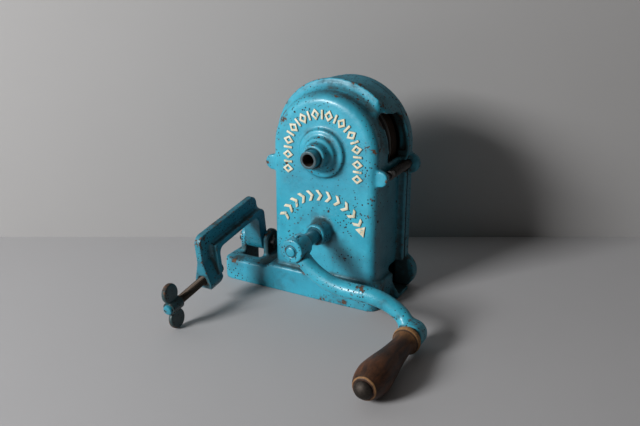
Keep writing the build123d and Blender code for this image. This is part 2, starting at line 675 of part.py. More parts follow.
def front_disc():
    disc = ring_y(DISC_RADIUS, TUBE_RADIUS + RUNNING_GAP, DISC_FRONT_Y, FRONT_FELT_Y, 0, DISC_Z)
    head_y = FRONT_FELT_Y - DISC_SCREW_HEAD
    past_felt = FRONT_FELT_Y + CUT_PAST
    for x, z in screw_places():
        disc -= cylinder_y(DISC_SCREW_RADIUS + PRESS_GAP, DISC_FRONT_Y - CUT_PAST, past_felt, x, z)
        disc -= cylinder_y(2 * DISC_SCREW_RADIUS + PRESS_GAP, head_y, past_felt, x, z)
    return disc


def disc_screws():
    screws = []
    head_y = FRONT_FELT_Y - DISC_SCREW_HEAD
    for x, z in screw_places():
        head = 2 * DISC_SCREW_RADIUS
        screw = cylinder_y(DISC_SCREW_RADIUS, PINION_FLANGE_Y, head_y, x, z)
        screw += cylinder_y(head, head_y, FRONT_FELT_Y - PRESS_GAP, x, z)
        slot = Pos(x, FRONT_FELT_Y, z) * Box(DISC_SCREW_SLOT, 2 * DISC_SCREW_SLOT, 2 * head + CUT_PAST)
        screws.append(screw - slot)
    return Compound(children=screws)


def felt(y0):
    return ring_y(FELT_RADIUS, FELT_HOLE, y0, y0 + FELT_THICK, 0, DISC_Z)


def inlet_ring():
    """The ring on the inner end of the inlet tube that keeps the front disc in place."""
    front = FRONT_FELT_Y + SIDE_GAP
    return ring_y(RING_RADIUS, TUBE_RADIUS + PRESS_GAP, front, front + RING_HEIGHT, 0, DISC_Z)


def inlet_lock_nut():
    front = WALL
    return hex_nut(LOCK_NUT_FLATS, TUBE_RADIUS + PRESS_GAP, front, front + LOCK_NUT_HEIGHT, 0, DISC_Z)


def rear_axle():
    """A shouldered axle: slotted head inside the felt, plain journal, threaded end behind the cover."""
    head_y = REAR_DISC_Y - AXLE_HEAD_THICK
    end = COVER_BACK_Y + WASHER_THICK + AXLE_NUT_HEIGHT + AXLE_END
    axle = cylinder_y(AXLE_HEAD_RADIUS, head_y - SIDE_GAP, REAR_DISC_Y - SIDE_GAP, 0, DISC_Z)
    axle += cylinder_y(AXLE_RADIUS, head_y, end, 0, DISC_Z)
    axle += cylinder_y(AXLE_SHOULDER, REAR_DISC_BACK_Y + SIDE_GAP, COVER_FRONT_Y, 0, DISC_Z)
    slot = Box(AXLE_SLOT, AXLE_HEAD_THICK, 2 * AXLE_HEAD_RADIUS + CUT_PAST)
    return axle - Pos(0, head_y - SIDE_GAP, DISC_Z) * slot


def rear_bush():
    return ring_y(REAR_BUSH_RADIUS, AXLE_RADIUS + RUNNING_GAP, REAR_DISC_Y, REAR_DISC_BACK_Y, 0, DISC_Z)


def rear_disc():
    return ring_y(DISC_RADIUS, REAR_BUSH_RADIUS + PRESS_GAP, REAR_DISC_Y, REAR_DISC_BACK_Y, 0, DISC_Z)


def rear_axle_washer():
    bore = AXLE_RADIUS + PRESS_GAP
    return ring_y(AXLE_WASHER_RADIUS, bore, COVER_BACK_Y, COVER_BACK_Y + WASHER_THICK, 0, DISC_Z)


def rear_axle_nut():
    front = COVER_BACK_Y + WASHER_THICK
    return hex_nut(AXLE_NUT_FLATS, AXLE_RADIUS + PRESS_GAP, front, front + AXLE_NUT_HEIGHT, 0, DISC_Z)


def tension_stud(side):
    end = EAR_BACK_Y + WASHER_THICK + STUD_NUT_HEIGHT + STUD_END
    return cylinder_y(STUD_RADIUS, STUD_FRONT_Y, end, side * STUD_X, STUD_Z)


def spring_collar(side):
    return ring_y(COLLAR_RADIUS, STUD_RADIUS + PRESS_GAP, COLLAR_Y, SPRING_Y, side * STUD_X, STUD_Z)


def tension_spring(side):
    length = EAR_Y - SPRING_Y - 2 * SPRING_WIRE
    helix = Helix(length / SPRING_TURNS, length, SPRING_COIL)
    start = Plane(origin=helix @ 0, z_dir=helix % 0)
    coil = sweep(start * Circle(SPRING_WIRE), helix, is_frenet=True)
    return Pos(side * STUD_X, SPRING_Y + SPRING_WIRE, STUD_Z) * Rot(-90, 0, 0) * coil


def tension_washer(side):
    bore = STUD_RADIUS + SIDE_GAP
    back = EAR_BACK_Y + WASHER_THICK
    return ring_y(STUD_WASHER_RADIUS, bore, EAR_BACK_Y, back, side * STUD_X, STUD_Z)


def tension_nut(side):
    front = EAR_BACK_Y + WASHER_THICK
    bore = STUD_RADIUS + RUNNING_GAP
    return hex_nut(STUD_NUT_FLATS, bore, front, front + STUD_NUT_HEIGHT, side * STUD_X, STUD_Z)


def crank_bush():
    bush = cylinder_y(BUSH_RADIUS, -BOSS_LENGTH, WALL, 0, CRANK_Z)
    bush += cylinder_y(BUSH_FLANGE, WALL, WALL + BUSH_FLANGE_THICK, 0, CRANK_Z)
    return bush - cylinder_y(JOURNAL_RADIUS + RUNNING_GAP, -HUB_FRONT, GEAR_Y, 0, CRANK_Z)


def crank_shaft():
    button = JOURNAL_RADIUS - SHAFT_BUTTON_STEP
    shaft = cylinder_y(JOURNAL_RADIUS, -HUB_FRONT, GEAR_HUB_BACK_Y, 0, CRANK_Z)
    shaft += cylinder_y(SHAFT_RADIUS, -HUB_FRONT + HUB_LENGTH, -BOSS_LENGTH - SIDE_GAP, 0, CRANK_Z)
    shaft += cylinder_y(button, -HUB_FRONT - SHAFT_BUTTON, -HUB_FRONT + CUT_PAST, 0, CRANK_Z)
    button_edge = shaft.faces().sort_by(Axis.Y)[0].edges()
    shaft = fillet(button_edge, SHAFT_BUTTON_ROUND)
    shaft -= Pos(0, HUB_MID_Y, CRANK_Z) * Cylinder(HUB_PIN_RADIUS + PRESS_GAP, 4 * HUB_RADIUS)
    return shaft - Pos(0, GEAR_PIN_Y, CRANK_Z) * Cylinder(GEAR_PIN_RADIUS + PRESS_GAP, 4 * HUB_RADIUS)


def crank_gear():
    gear_back = GEAR_Y + GEAR_WIDTH
    blank = prism_y(Pos(0, CRANK_Z) * gear_face(CRANK_TEETH, 90), GEAR_Y, gear_back)
    rim_inside = MODULE * (CRANK_TEETH / 2 - DEDENDUM) - GEAR_RIM
    recess = (GEAR_WIDTH - GEAR_WEB) / 2
    for y in (GEAR_Y, gear_back - recess):
        blank -= cylinder_y(rim_inside, y, y + recess, 0, CRANK_Z)
    middle = (GEAR_HUB_RADIUS + rim_inside) / 2
    hole = (rim_inside - GEAR_HUB_RADIUS) / 2 - GEAR_SPOKE_LAND
    for number in range(GEAR_HOLES):
        angle = math.radians(90 + 360 * number / GEAR_HOLES)
        x, z = middle * math.cos(angle), CRANK_Z + middle * math.sin(angle)
        blank -= cylinder_y(hole, GEAR_Y - CUT_PAST, gear_back + CUT_PAST, x, z)
    blank += cylinder_y(GEAR_HUB_RADIUS, GEAR_HUB_Y, GEAR_HUB_BACK_Y, 0, CRANK_Z)
    pin_hole = Cylinder(GEAR_PIN_RADIUS + PRESS_GAP, 2 * (GEAR_HUB_RADIUS + CUT_PAST))
    blank -= Pos(0, GEAR_PIN_Y, CRANK_Z) * pin_hole
    return blank - cylinder_y(JOURNAL_RADIUS + PRESS_GAP, 0, CASE_DEPTH, 0, CRANK_Z)


def gear_pin():
    return Pos(0, GEAR_PIN_Y, CRANK_Z) * Cylinder(GEAR_PIN_RADIUS, 2 * GEAR_HUB_RADIUS)


def arm_path():
    """The crank arm's S shape in (X, Z): a bend to level, a level run, a bend down to the eye."""
    level = CRANK_Z - ARM_LEVEL
    turn_in = 2 * math.atan2(ARM_LEVEL, ARM_LEVEL_START)
    radius_in = ARM_LEVEL_START / math.sin(turn_in)
    centre_in = (ARM_LEVEL_START, level + radius_in)
    half_in = turn_in / 2
    run_out = CRANK_THROW_X - ARM_LEVEL_END
    drop_out = level - CRANK_EYE_Z
    turn_out = 2 * math.atan2(drop_out, run_out)
    radius_out = run_out / math.sin(turn_out)
    centre_out = (ARM_LEVEL_END, level - radius_out)
    half_out = turn_out / 2
    bend_in = ThreePointArc(
        (0, CRANK_Z),
        (centre_in[0] - radius_in * math.sin(half_in), centre_in[1] - radius_in * math.cos(half_in)),
        (ARM_LEVEL_START, level),
    )
    bend_out = ThreePointArc(
        (ARM_LEVEL_END, level),
        (centre_out[0] + radius_out * math.sin(half_out), centre_out[1] + radius_out * math.cos(half_out)),
        (CRANK_THROW_X, CRANK_EYE_Z),
    )
    return Wire([bend_in, Line((ARM_LEVEL_START, level), (ARM_LEVEL_END, level)), bend_out])


def crank_arm():
    plane = Plane(origin=(0, HUB_MID_Y, 0), x_dir=(1, 0, 0), z_dir=(0, -1, 0))
    path = plane * arm_path()
    start = Plane(origin=path @ 0, z_dir=path % 0)
    bar = sweep(start * Circle(ARM_RADIUS), path)
    hub = cylinder_y(HUB_RADIUS, -HUB_FRONT, -HUB_FRONT + HUB_LENGTH, 0, CRANK_Z)
    hub = fillet(hub.edges(), HUB_ROUND)
    eye_y = HUB_MID_Y - EYE_LENGTH / 2
    eye = cylinder_y(EYE_RADIUS, -HUB_FRONT, eye_y + EYE_LENGTH, CRANK_THROW_X, CRANK_EYE_Z)
    eye = fillet(eye.edges(), EYE_ROUND)
    solid = bar + hub + eye
    solid -= cylinder_y(JOURNAL_RADIUS + PRESS_GAP, -HUB_FRONT - CUT_PAST, 0, 0, CRANK_Z)
    solid -= Pos(0, HUB_MID_Y, CRANK_Z) * Cylinder(HUB_PIN_RADIUS + PRESS_GAP, 4 * HUB_RADIUS)
    return solid - cylinder_y(SPINDLE_RADIUS + PRESS_GAP, -2 * HUB_FRONT, 0, CRANK_THROW_X, CRANK_EYE_Z)


def crank_pin():
    length = 2 * (HUB_RADIUS + HUB_PIN_PROUD)
    pin = Cylinder(HUB_PIN_RADIUS, length)
    return Pos(0, HUB_MID_Y, CRANK_Z) * fillet(pin.edges(), HUB_PIN_ROUND)


def grip_outline():
    """Half the grip's section as (radius, Y), from the root collar to the end."""

    def at(radius, distance):
        return (radius, GRIP_ROOT_Y - distance)

    bore = SPINDLE_RADIUS + RUNNING_GAP
    collar = ThreePointArc(
        at(GRIP_ROOT_RADIUS, 0),
        at(GRIP_COLLAR_RADIUS, GRIP_COLLAR_AT),
        at(GRIP_ROOT_RADIUS, GRIP_COLLAR_LENGTH),
    )
    swell = Spline(
        at(GRIP_ROOT_RADIUS, GRIP_COLLAR_LENGTH),
        at(GRIP_NECK_RADIUS, GRIP_NECK_AT),
        at(GRIP_MIDDLE_RADIUS, GRIP_MIDDLE_AT),
        at(GRIP_BELLY_RADIUS, GRIP_BELLY_AT),
        at(GRIP_TAIL_RADIUS, GRIP_LENGTH - GRIP_TAIL),
    )
    groove = Polyline(
        at(GRIP_TAIL_RADIUS, GRIP_LENGTH - GRIP_TAIL),
        at(GROOVE_RADIUS, GRIP_LENGTH - GROOVE_FROM_END),
        at(BEAD_RADIUS, GRIP_LENGTH - BEAD_FROM_END),
        at(GRIP_END_RADIUS, GRIP_LENGTH),
        at(bore, GRIP_LENGTH),
        at(bore, 0),
        at(GRIP_ROOT_RADIUS, 0),
    )
    return collar + swell + groove


def grip():
    return turned_y(grip_outline(), CRANK_THROW_X, CRANK_EYE_Z)


def grip_washer():
    front = -HUB_FRONT - GRIP_WASHER_THICK
    bore = SPINDLE_RADIUS + PRESS_GAP
    return ring_y(GRIP_WASHER_RADIUS, bore, front, -HUB_FRONT, CRANK_THROW_X, CRANK_EYE_Z)


def grip_spindle():
    """The steel pin through the grip: riveted in the eye, with a domed head beyond the wood."""
    tail_y = HUB_MID_Y + EYE_LENGTH / 2 + SPINDLE_TAIL
    head_y = GRIP_END_Y - SIDE_GAP
    rim_y = head_y - SPINDLE_HEAD_RIM
    tip_y = rim_y - SPINDLE_DOME
    outline = Polyline(
        (0, tail_y),
        (SPINDLE_RADIUS - CHAMFER, tail_y),
        (SPINDLE_RADIUS, tail_y - CHAMFER),
        (SPINDLE_RADIUS, head_y),
        (SPINDLE_HEAD, head_y),
        (SPINDLE_HEAD, rim_y),
    )
    sphere = (SPINDLE_HEAD**2 + SPINDLE_DOME**2) / (2 * SPINDLE_DOME)
    halfway = math.asin(SPINDLE_HEAD / sphere) / 2
    bulge = (sphere * math.sin(halfway), tip_y + sphere * (1 - math.cos(halfway)))
    outline += ThreePointArc((SPINDLE_HEAD, rim_y), bulge, (0, tip_y))
    outline += Line((0, tip_y), (0, tail_y))
    return turned_y(outline, CRANK_THROW_X, CRANK_EYE_Z)


def in_arm_frame(part):
    """Tips a clamp piece, drawn with the spine level, about the hinge pin to where it lies folded."""
    hinge = Pos(0, PIVOT_Y, PIVOT_Z)
    return hinge * Rot(CLAMP_TILT, 0, 0) * part


def arm_web_face():
    """The narrow web of the clamp arm as (Y, Z): an L whose jaw ends round below the screw."""
    jaw_middle = -(JAW_INNER + JAW_OUTER) / 2
    jaw_half = (JAW_OUTER - JAW_INNER) / 2
    straight = JAW_END_DROP - jaw_half
    face = make_face(
        Polyline(
            (0, SPINE_INNER),
            (0, SPINE_OUTER),
            (-JAW_OUTER, SPINE_OUTER),
            (-JAW_OUTER, SCREW_RISE),
            (-JAW_INNER, SCREW_RISE),
            (-JAW_INNER, SPINE_INNER),
            close=True,
        )
    )
    face = fillet(face.vertices().filter_by(lambda v: v.Y > SPINE_OUTER - CUT_PAST), ARM_CORNER)
    face += Pos(jaw_middle, SCREW_RISE - straight) * Circle(jaw_half)
    return face + Pos(jaw_middle, SCREW_RISE - straight / 2) * Rectangle(2 * jaw_half, straight)


def arm_flange_face():
    """The broad flange of the clamp arm as (Y, Z): tongue, spine and jaw, rounded in the corners."""
    flange_top = SPINE_INNER + ARM_FLANGE_THICK
    jaw_front = -JAW_INNER - ARM_FLANGE_THICK
    face = make_face(
        Polyline(
            (TONGUE_BACK, 0),
            (TONGUE_BACK, flange_top),
            (jaw_front, flange_top),
            (jaw_front, SCREW_RISE),
            (-JAW_INNER, SCREW_RISE),
            (-JAW_INNER, SPINE_INNER),
            (-TONGUE_FRONT, SPINE_INNER),
            (-TONGUE_FRONT, 0),
            close=True,
        )
    )
    inside = face.vertices().filter_by(lambda v: abs(v.Y - SPINE_INNER) < SIDE_GAP)
    face = fillet(inside, INNER_CORNER)
    return fillet(face.vertices().filter_by(lambda v: v.X > 0 and v.Y > SPINE_INNER), ARM_CORNER)


def jaw_end_face():
    """The lower end of the jaw as (X, Z), seen from the front: it widens from the web to a round end."""
    half = ARM_WEB / 2
    top = SCREW_RISE + JAW_END_RISE
    bottom = SCREW_RISE - JAW_END_DROP
    shoulder = bottom + JAW_END_HALF
    sides = Polyline((JAW_END_HALF, shoulder), (half, top), (-half, top), (-JAW_END_HALF, shoulder))
    return make_face(sides + ThreePointArc((-JAW_END_HALF, shoulder), (0, bottom), (JAW_END_HALF, shoulder)))


def clamp_arm():
    """A cast C frame of T section: broad flange inside the C, narrow web outside it."""
    barrel_half = EARS_GAP / 2 - SIDE_GAP
    web = prism_x(arm_web_face(), CLAMP_X - ARM_WEB / 2, CLAMP_X + ARM_WEB / 2)
    flange = prism_x(arm_flange_face(), CLAMP_X - ARM_FLANGE / 2, CLAMP_X + ARM_FLANGE / 2)
    solid = web + flange
    flange_top = SPINE_INNER + ARM_FLANGE_THICK
    jaw_front = -JAW_INNER - ARM_FLANGE_THICK

    def meets_web(edge):
        """Where the web rises from the outer face of the flange."""
        place = edge.center()
        beside = abs(abs(place.X - CLAMP_X) - ARM_WEB / 2) < SIDE_GAP
        on_spine = abs(place.Z - flange_top) < SIDE_GAP and jaw_front < place.Y < 0
        return beside and (on_spine or abs(place.Y - jaw_front) < SIDE_GAP)

    solid = fillet(solid.edges().filter_by(meets_web), ARM_FILLET)
    jaw_end = prism_y(Pos(CLAMP_X, 0) * jaw_end_face(), -JAW_OUTER, -JAW_INNER)
    solid += jaw_end & prism_x(arm_web_face(), CLAMP_X - EARS_GAP, CLAMP_X + EARS_GAP)
    solid += cylinder_x(TONGUE_RADIUS, CLAMP_X - barrel_half, CLAMP_X + barrel_half)
    solid -= cylinder_x(PIVOT_RADIUS + RUNNING_GAP, CLAMP_X - EARS_GAP, CLAMP_X + EARS_GAP)
    screw_hole = SCREW_RADIUS + SIDE_GAP
    solid -= cylinder_y(screw_hole, -JAW_OUTER - CUT_PAST, -JAW_INNER + CUT_PAST, CLAMP_X, SCREW_RISE)
    return in_arm_frame(solid)


def clamp_hinge_pin():
    left = EAR_INNER_LEFT - CLAMP_EAR_THICK
    right = EAR_INNER_RIGHT + CLAMP_EAR_THICK
    pin = cylinder_x(PIVOT_RADIUS, left, right + PIVOT_END, PIVOT_Y, PIVOT_Z)
    head = cylinder_x(PIVOT_HEAD_RADIUS, left - PIVOT_HEAD_THICK, left, PIVOT_Y, PIVOT_Z)
    head = fillet(head.edges().sort_by(Axis.X)[0], PIVOT_HEAD_ROUND)
    cotter_hole = Cylinder(COTTER_RADIUS + PRESS_GAP, 4 * PIVOT_RADIUS)
    return pin + head - Pos(right + PIVOT_END / 2, PIVOT_Y, PIVOT_Z) * cotter_hole


def hinge_cotter():
    x = EAR_INNER_RIGHT + CLAMP_EAR_THICK + PIVOT_END / 2
    return Pos(x, PIVOT_Y, PIVOT_Z) * Cylinder(COTTER_RADIUS, COTTER_LENGTH)


def clamp_screw():
    """The screw with its tenon and rivet button in front, and a plain end in the pad."""
    pad_back = -PAD_FACE - PAD_THICK
    screw = cylinder_y(SCREW_RADIUS, -WING_HUB_BACK, pad_back, CLAMP_X, SCREW_RISE)
    screw += cylinder_y(TENON_RADIUS, -SCREW_FRONT, -WING_HUB_BACK, CLAMP_X, SCREW_RISE)
    button = cylinder_y(RIVET_RADIUS, -SCREW_FRONT, -WING_HUB_FRONT, CLAMP_X, SCREW_RISE)
    screw += fillet(button.edges().sort_by(Axis.Y)[0], RIVET_ROUND)
    screw += cylinder_y(TENON_RADIUS, pad_back, -PAD_FACE - PAD_FLOOR, CLAMP_X, SCREW_RISE)
    return in_arm_frame(screw)


def clamp_wing():
    """The wing grip, cast as one piece and riveted on the front end of the screw."""
    hub = cylinder_y(WING_HUB_RADIUS, -WING_HUB_FRONT, -WING_HUB_BACK)
    reach = WING_HALF - WING_LOBE
    face = Pos(-WING_MIDDLE, 0) * Rectangle(WING_WAIST, 2 * reach)
    for side in (-1, 1):
        face += Pos(-WING_MIDDLE, side * reach) * Circle(WING_LOBE)
    plate = prism_x(face, -WING_PLATE / 2, WING_PLATE / 2)
    rims = plate.edges().filter_by(lambda e: abs(e.center().X) > WING_PLATE / 4)
    solid = hub + fillet(rims, WING_ROUND)
    solid -= cylinder_y(TENON_RADIUS + PRESS_GAP, -2 * SCREW_FRONT, 0)
    return in_arm_frame(Pos(CLAMP_X, 0, SCREW_RISE) * Rot(0, -WING_TURN, 0) * solid)


def clamp_pad():
    back = -PAD_FACE - PAD_THICK + SIDE_GAP
    pad = cylinder_y(PAD_RADIUS, back, -PAD_FACE, CLAMP_X, SCREW_RISE)
    pad = fillet(pad.edges(), PAD_ROUND)
    socket_end = -PAD_FACE - PAD_FLOOR + SIDE_GAP
    pad -= cylinder_y(TENON_RADIUS + RUNNING_GAP, back - CUT_PAST, socket_end, CLAMP_X, SCREW_RISE)
    return in_arm_frame(pad)


def all_parts():
    parts = {
        "front_casing": front_casing(),
        "rear_cover": rear_cover(),
        "cover_dowels": cover_dowels(),
        "inlet_tube": inlet_tube(),
        "inlet_lock_nut": inlet_lock_nut(),
        "inlet_ring": inlet_ring(),
        "pinion": pinion(),
        "front_disc": front_disc(),
        "front_felt": felt(FRONT_FELT_Y),
        "disc_screws": disc_screws(),
        "rear_axle": rear_axle(),
        "rear_bush": rear_bush(),
        "rear_disc": rear_disc(),
        "rear_felt": felt(REAR_FELT_Y),
        "rear_axle_washer": rear_axle_washer(),
        "rear_axle_nut": rear_axle_nut(),
        "crank_bush": crank_bush(),
        "crank_shaft": crank_shaft(),
        "crank_gear": crank_gear(),
        "gear_pin": gear_pin(),
        "crank_arm": crank_arm(),
        "crank_pin": crank_pin(),
        "grip_washer": grip_washer(),
        "grip_spindle": grip_spindle(),
        "grip": grip(),
        "clamp_arm": clamp_arm(),
        "clamp_hinge_pin": clamp_hinge_pin(),
        "hinge_cotter": hinge_cotter(),
        "clamp_screw": clamp_screw(),
        "clamp_wing": clamp_wing(),
        "clamp_pad": clamp_pad(),
    }
    for name, side in (("left", -1), ("right", 1)):
        parts[f"tension_stud_{name}"] = tension_stud(side)
        parts[f"spring_collar_{name}"] = spring_collar(side)
        parts[f"tension_spring_{name}"] = tension_spring(side)
        parts[f"tension_washer_{name}"] = tension_washer(side)
        parts[f"tension_nut_{name}"] = tension_nut(side)
    return parts


os.makedirs("parts", exist_ok=True)
for node, shape in all_parts().items():
    export_step(shape, f"parts/{node}.step")
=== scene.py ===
import json
import math
from functools import lru_cache, partial

import bpy
import numpy as np
from bpy.props import FloatProperty, FloatVectorProperty, IntProperty, PointerProperty
from bpy.types import Operator, Panel, PropertyGroup
from mathutils import Matrix, Vector
from mathutils.bvhtree import BVHTree
from mathutils.geometry import interpolate_bezier

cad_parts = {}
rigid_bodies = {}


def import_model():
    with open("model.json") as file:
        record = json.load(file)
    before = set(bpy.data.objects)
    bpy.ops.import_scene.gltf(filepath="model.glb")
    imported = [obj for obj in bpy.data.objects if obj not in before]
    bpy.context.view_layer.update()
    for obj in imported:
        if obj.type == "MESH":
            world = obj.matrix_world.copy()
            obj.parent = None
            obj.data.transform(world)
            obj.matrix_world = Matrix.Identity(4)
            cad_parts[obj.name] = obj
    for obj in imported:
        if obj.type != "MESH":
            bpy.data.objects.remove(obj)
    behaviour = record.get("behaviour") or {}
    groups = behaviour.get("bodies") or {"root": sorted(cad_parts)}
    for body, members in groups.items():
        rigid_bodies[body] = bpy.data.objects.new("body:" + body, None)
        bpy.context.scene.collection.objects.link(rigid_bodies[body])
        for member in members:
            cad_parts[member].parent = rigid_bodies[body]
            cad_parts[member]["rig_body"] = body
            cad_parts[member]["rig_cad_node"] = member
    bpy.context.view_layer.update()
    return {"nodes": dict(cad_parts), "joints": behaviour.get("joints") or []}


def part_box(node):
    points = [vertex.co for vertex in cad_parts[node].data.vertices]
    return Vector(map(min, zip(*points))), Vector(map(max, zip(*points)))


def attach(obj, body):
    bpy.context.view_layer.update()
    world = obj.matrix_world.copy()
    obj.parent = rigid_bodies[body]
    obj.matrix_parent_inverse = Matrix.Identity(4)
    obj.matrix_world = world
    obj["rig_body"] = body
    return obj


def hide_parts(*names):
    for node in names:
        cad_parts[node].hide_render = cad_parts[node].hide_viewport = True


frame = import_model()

bl_info = {
    "name": "Knife Cleaner Finish",
    "version": (1, 0, 0),
    "blender": (4, 5, 0),
    "location": "View3D > Sidebar > Knife Cleaner",
    "description": "Gives the packed knife cleaner its castings, threads, relief and worn finishes",
    "category": "Object",
}

MM = 0.001
MERGE = 1e-6
SMOOTH_ANGLE = math.radians(32)
FLAT_ANGLE = math.radians(1)
PAINT = "turquoise_paint"
CLAMP_PAINT = "turquoise_clamp"
STEEL = "dark_steel"


def middle(node):
    """The middle of a CAD node's box."""
    low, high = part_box(node)
    return (low + high) / 2


DISC_AXIS = middle("inlet_tube")
CRANK_AXIS = middle("crank_bush")
GRIP_AXIS = middle("grip")
HINGE = middle("clamp_hinge_pin")
PAD = middle("clamp_pad")
SCREW_WAY = next(Vector(joint["axis"]) for joint in frame["joints"] if joint["name"] == "pad_slide")
SCREW_TILT = math.atan2(SCREW_WAY.z, SCREW_WAY.y)


# Settings that a user would change


def setting(kind, name, description, default, **limits):
    return kind(name=name, description=description, default=default, **limits)


number = partial(setting, FloatProperty, min=0.0)
count = partial(setting, IntProperty, min=2)
tone = partial(setting, FloatVectorProperty, subtype="COLOR", size=3, min=0.0, max=1.0)


def length(name, description, millimetres):
    return number(name, description, millimetres * MM, unit="LENGTH", precision=5)


class KnifeCastings(PropertyGroup):
    """How finely the castings are skinned."""

    case_voxel: length("Case voxel", "Grid step of the casing's skin", 1.28)
    cover_voxel: length("Cover voxel", "Grid step of the rear cover's skin", 1.0)
    arm_voxel: length("Arm voxel", "Grid step of both arms' skins", 0.6)
    wing_voxel: length("Wing voxel", "Grid step of the wing grip's skin", 0.4)
    lump_height: length("Lump height", "Swell of the cast surface", 0.3)
    lump_size: length("Lump size", "Width of one swell", 16.0)
    rounds: count("Rounds", "Smoothing passes over case and crank", 5)
    arm_rounds: count("Arm rounds", "Smoothing passes over the clamp", 12)


class KnifePaint(PropertyGroup):
    """Colours and wear of the painted castings."""

    light: tone("Light", "Turquoise that has stayed bright", (0.035, 0.384, 0.520))
    deep: tone("Deep", "Turquoise that has darkened", (0.021, 0.285, 0.408))
    rust: tone("Rust", "Brown of the bare iron", (0.105, 0.048, 0.024))
    iron: tone("Iron", "Dark iron in the deeper chips", (0.024, 0.017, 0.014))
    # Grime colour: old oil and dust in the hollows, and the painted shade laid there as well
    grime_and_shade: tone("Grime", "Old oil and dust in the hollows", (0.022, 0.050, 0.055))
    stain: tone("Stain", "Thin old stains over the paint", (0.060, 0.075, 0.045))
    cream: tone("Cream", "Paint on the raised ornament", (0.690, 0.655, 0.530))
    edge_wear: number("Edge wear", "How much paint the edges have lost", 0.5, subtype="FACTOR", max=1.0)


class KnifeRelief(PropertyGroup):
    """The raised ornament on the front of the casing."""

    rise: length("Rise", "Height of the ornament over the face", 1.5)
    sink: length("Sink", "Depth of the ornament's foot in the face", 0.5)
    border_radius: length("Border radius", "Radius of the border's arch", 38.5)
    leg: length("Leg", "Straight run below the arch, on each side", 21.0)
    lozenge_length: length("Lozenge length", "Length of a lozenge along the border", 9.6)
    lozenge_height: length("Lozenge height", "Height of a lozenge across the border", 12.0)
    bar_height: length("Bar height", "Height of a bar between two lozenges", 9.5)
    stroke: length("Stroke", "Width of the raised lines", 2.1)
    lozenges: count("Lozenges", "Number of lozenges", 12)
    arrow_radius: length("Arrow radius", "Radius of the arrow row", 47.4)
    arrow_drop: length("Arrow drop", "Row's middle under the crank's axis", 10.4)
    chevrons: count("Chevrons", "Number of chevrons", 11)
    chevron_height: length("Chevron height", "Height of a chevron across the row", 11.0)


class KnifeThreads(PropertyGroup):
    """The threads of the clamp screw, the studs and the rear axle."""

    screw_radius: length("Screw radius", "Outer radius of the clamp screw", 4.5)
    screw_pitch: length("Screw pitch", "Advance of the clamp screw in one turn", 2.0)
    screw_depth: length("Screw depth", "Depth of the clamp screw's thread", 0.75)
    stud_radius: length("Stud radius", "Outer radius of the tension studs", 2.75)
    stud_pitch: length("Stud pitch", "Advance of a tension nut in one turn", 0.9)
    stud_depth: length("Stud depth", "Depth of the studs' thread", 0.4)
    axle_radius: length("Axle radius", "Outer radius of the rear axle", 5.0)
    axle_pitch: length("Axle pitch", "Advance of the axle nut in one turn", 1.25)
    nut_chamfer: length("Nut chamfer", "Height of the chamfer on the nuts' corners", 0.9)


class KnifeStage(PropertyGroup):
    """The floor, the wall, the lamps and the camera."""

    floor: tone("Floor", "Colour of the floor", (0.40, 0.397, 0.405))
    wall: tone("Wall", "Colour of the wall", (0.368, 0.362, 0.360))
    wall_distance: length("Wall distance", "From the camera's foot to the wall", 915.0)
    key_power: number("Key power", "Power of the large lamp", 54.0, unit="POWER")
    fill_power: number("Fill power", "Power of the rear lamp", 6.5, unit="POWER")
    sky_tone: tone("Sky tone", "Colour of the even light all round", (1.0, 0.88, 0.78))
    sky: number("Sky", "Strength of the even light all round", 0.046)
    lens: number("Lens", "Focal length", 45.0, unit="CAMERA")


# Choosing and editing


def choose(*pieces):
    """Selects these pieces alone, the last one active."""
    bpy.ops.object.select_all(action="DESELECT")
    for piece in pieces:
        piece.select_set(True)
        bpy.context.view_layer.objects.active = piece


def active_as(name):
    """The active piece, under a new name."""
    piece = bpy.context.object
    piece.name = name
    piece.data.name = name
    return piece


def add(primitive, name, **settings):
    """Adds a mesh primitive, which alone is then selected."""
    bpy.ops.object.select_all(action="DESELECT")
    getattr(bpy.ops.mesh, f"primitive_{primitive}_add")(**settings)
    return active_as(name)


def begin_edit(piece):
    """Opens a piece in edit mode with all of it selected."""
    choose(piece)
    bpy.ops.object.mode_set(mode="EDIT")
    bpy.ops.mesh.select_all(action="SELECT")


def end_edit():
    bpy.ops.object.mode_set(mode="OBJECT")


def close_mesh():
    """Merges what meets and turns the faces outwards, in edit mode."""
    bpy.ops.mesh.select_all(action="SELECT")
    bpy.ops.mesh.remove_doubles(threshold=MERGE)
    bpy.ops.mesh.normals_make_consistent()


def modify(piece, kind, **settings):
    """Adds a modifier and applies it."""
    choose(piece)
    modifier = piece.modifiers.new(kind.lower(), kind)
    for key, value in settings.items():
        setattr(modifier, key, value)
    bpy.ops.object.modifier_apply(modifier=modifier.name)
    return piece


def carve(piece, tool, operation):
    """Joins a tool to a piece, or cuts with it, and drops the tool."""
    modify(piece, "BOOLEAN", object=tool, operation=operation, solver="EXACT")
    bpy.data.objects.remove(tool)
    return piece


def shade(piece):
    """Shades a piece smooth between its sharp edges."""
    choose(piece)
    bpy.ops.object.shade_smooth_by_angle(angle=SMOOTH_ANGLE)
    return piece


def soften(piece, width):
    """Bevels the sharp edges of a piece."""
    modify(piece, "BEVEL", width=width, segments=2, limit_method="ANGLE", angle_limit=SMOOTH_ANGLE)
    return shade(piece)


def place(piece, matrix):
    """Moves a finished shape to its place, in its mesh."""
    piece.matrix_world = matrix
    choose(piece)
    bpy.ops.object.transform_apply()
    return piece


def copy_piece(piece, name):
    choose(piece)
    bpy.ops.object.duplicate()
    return active_as(name)


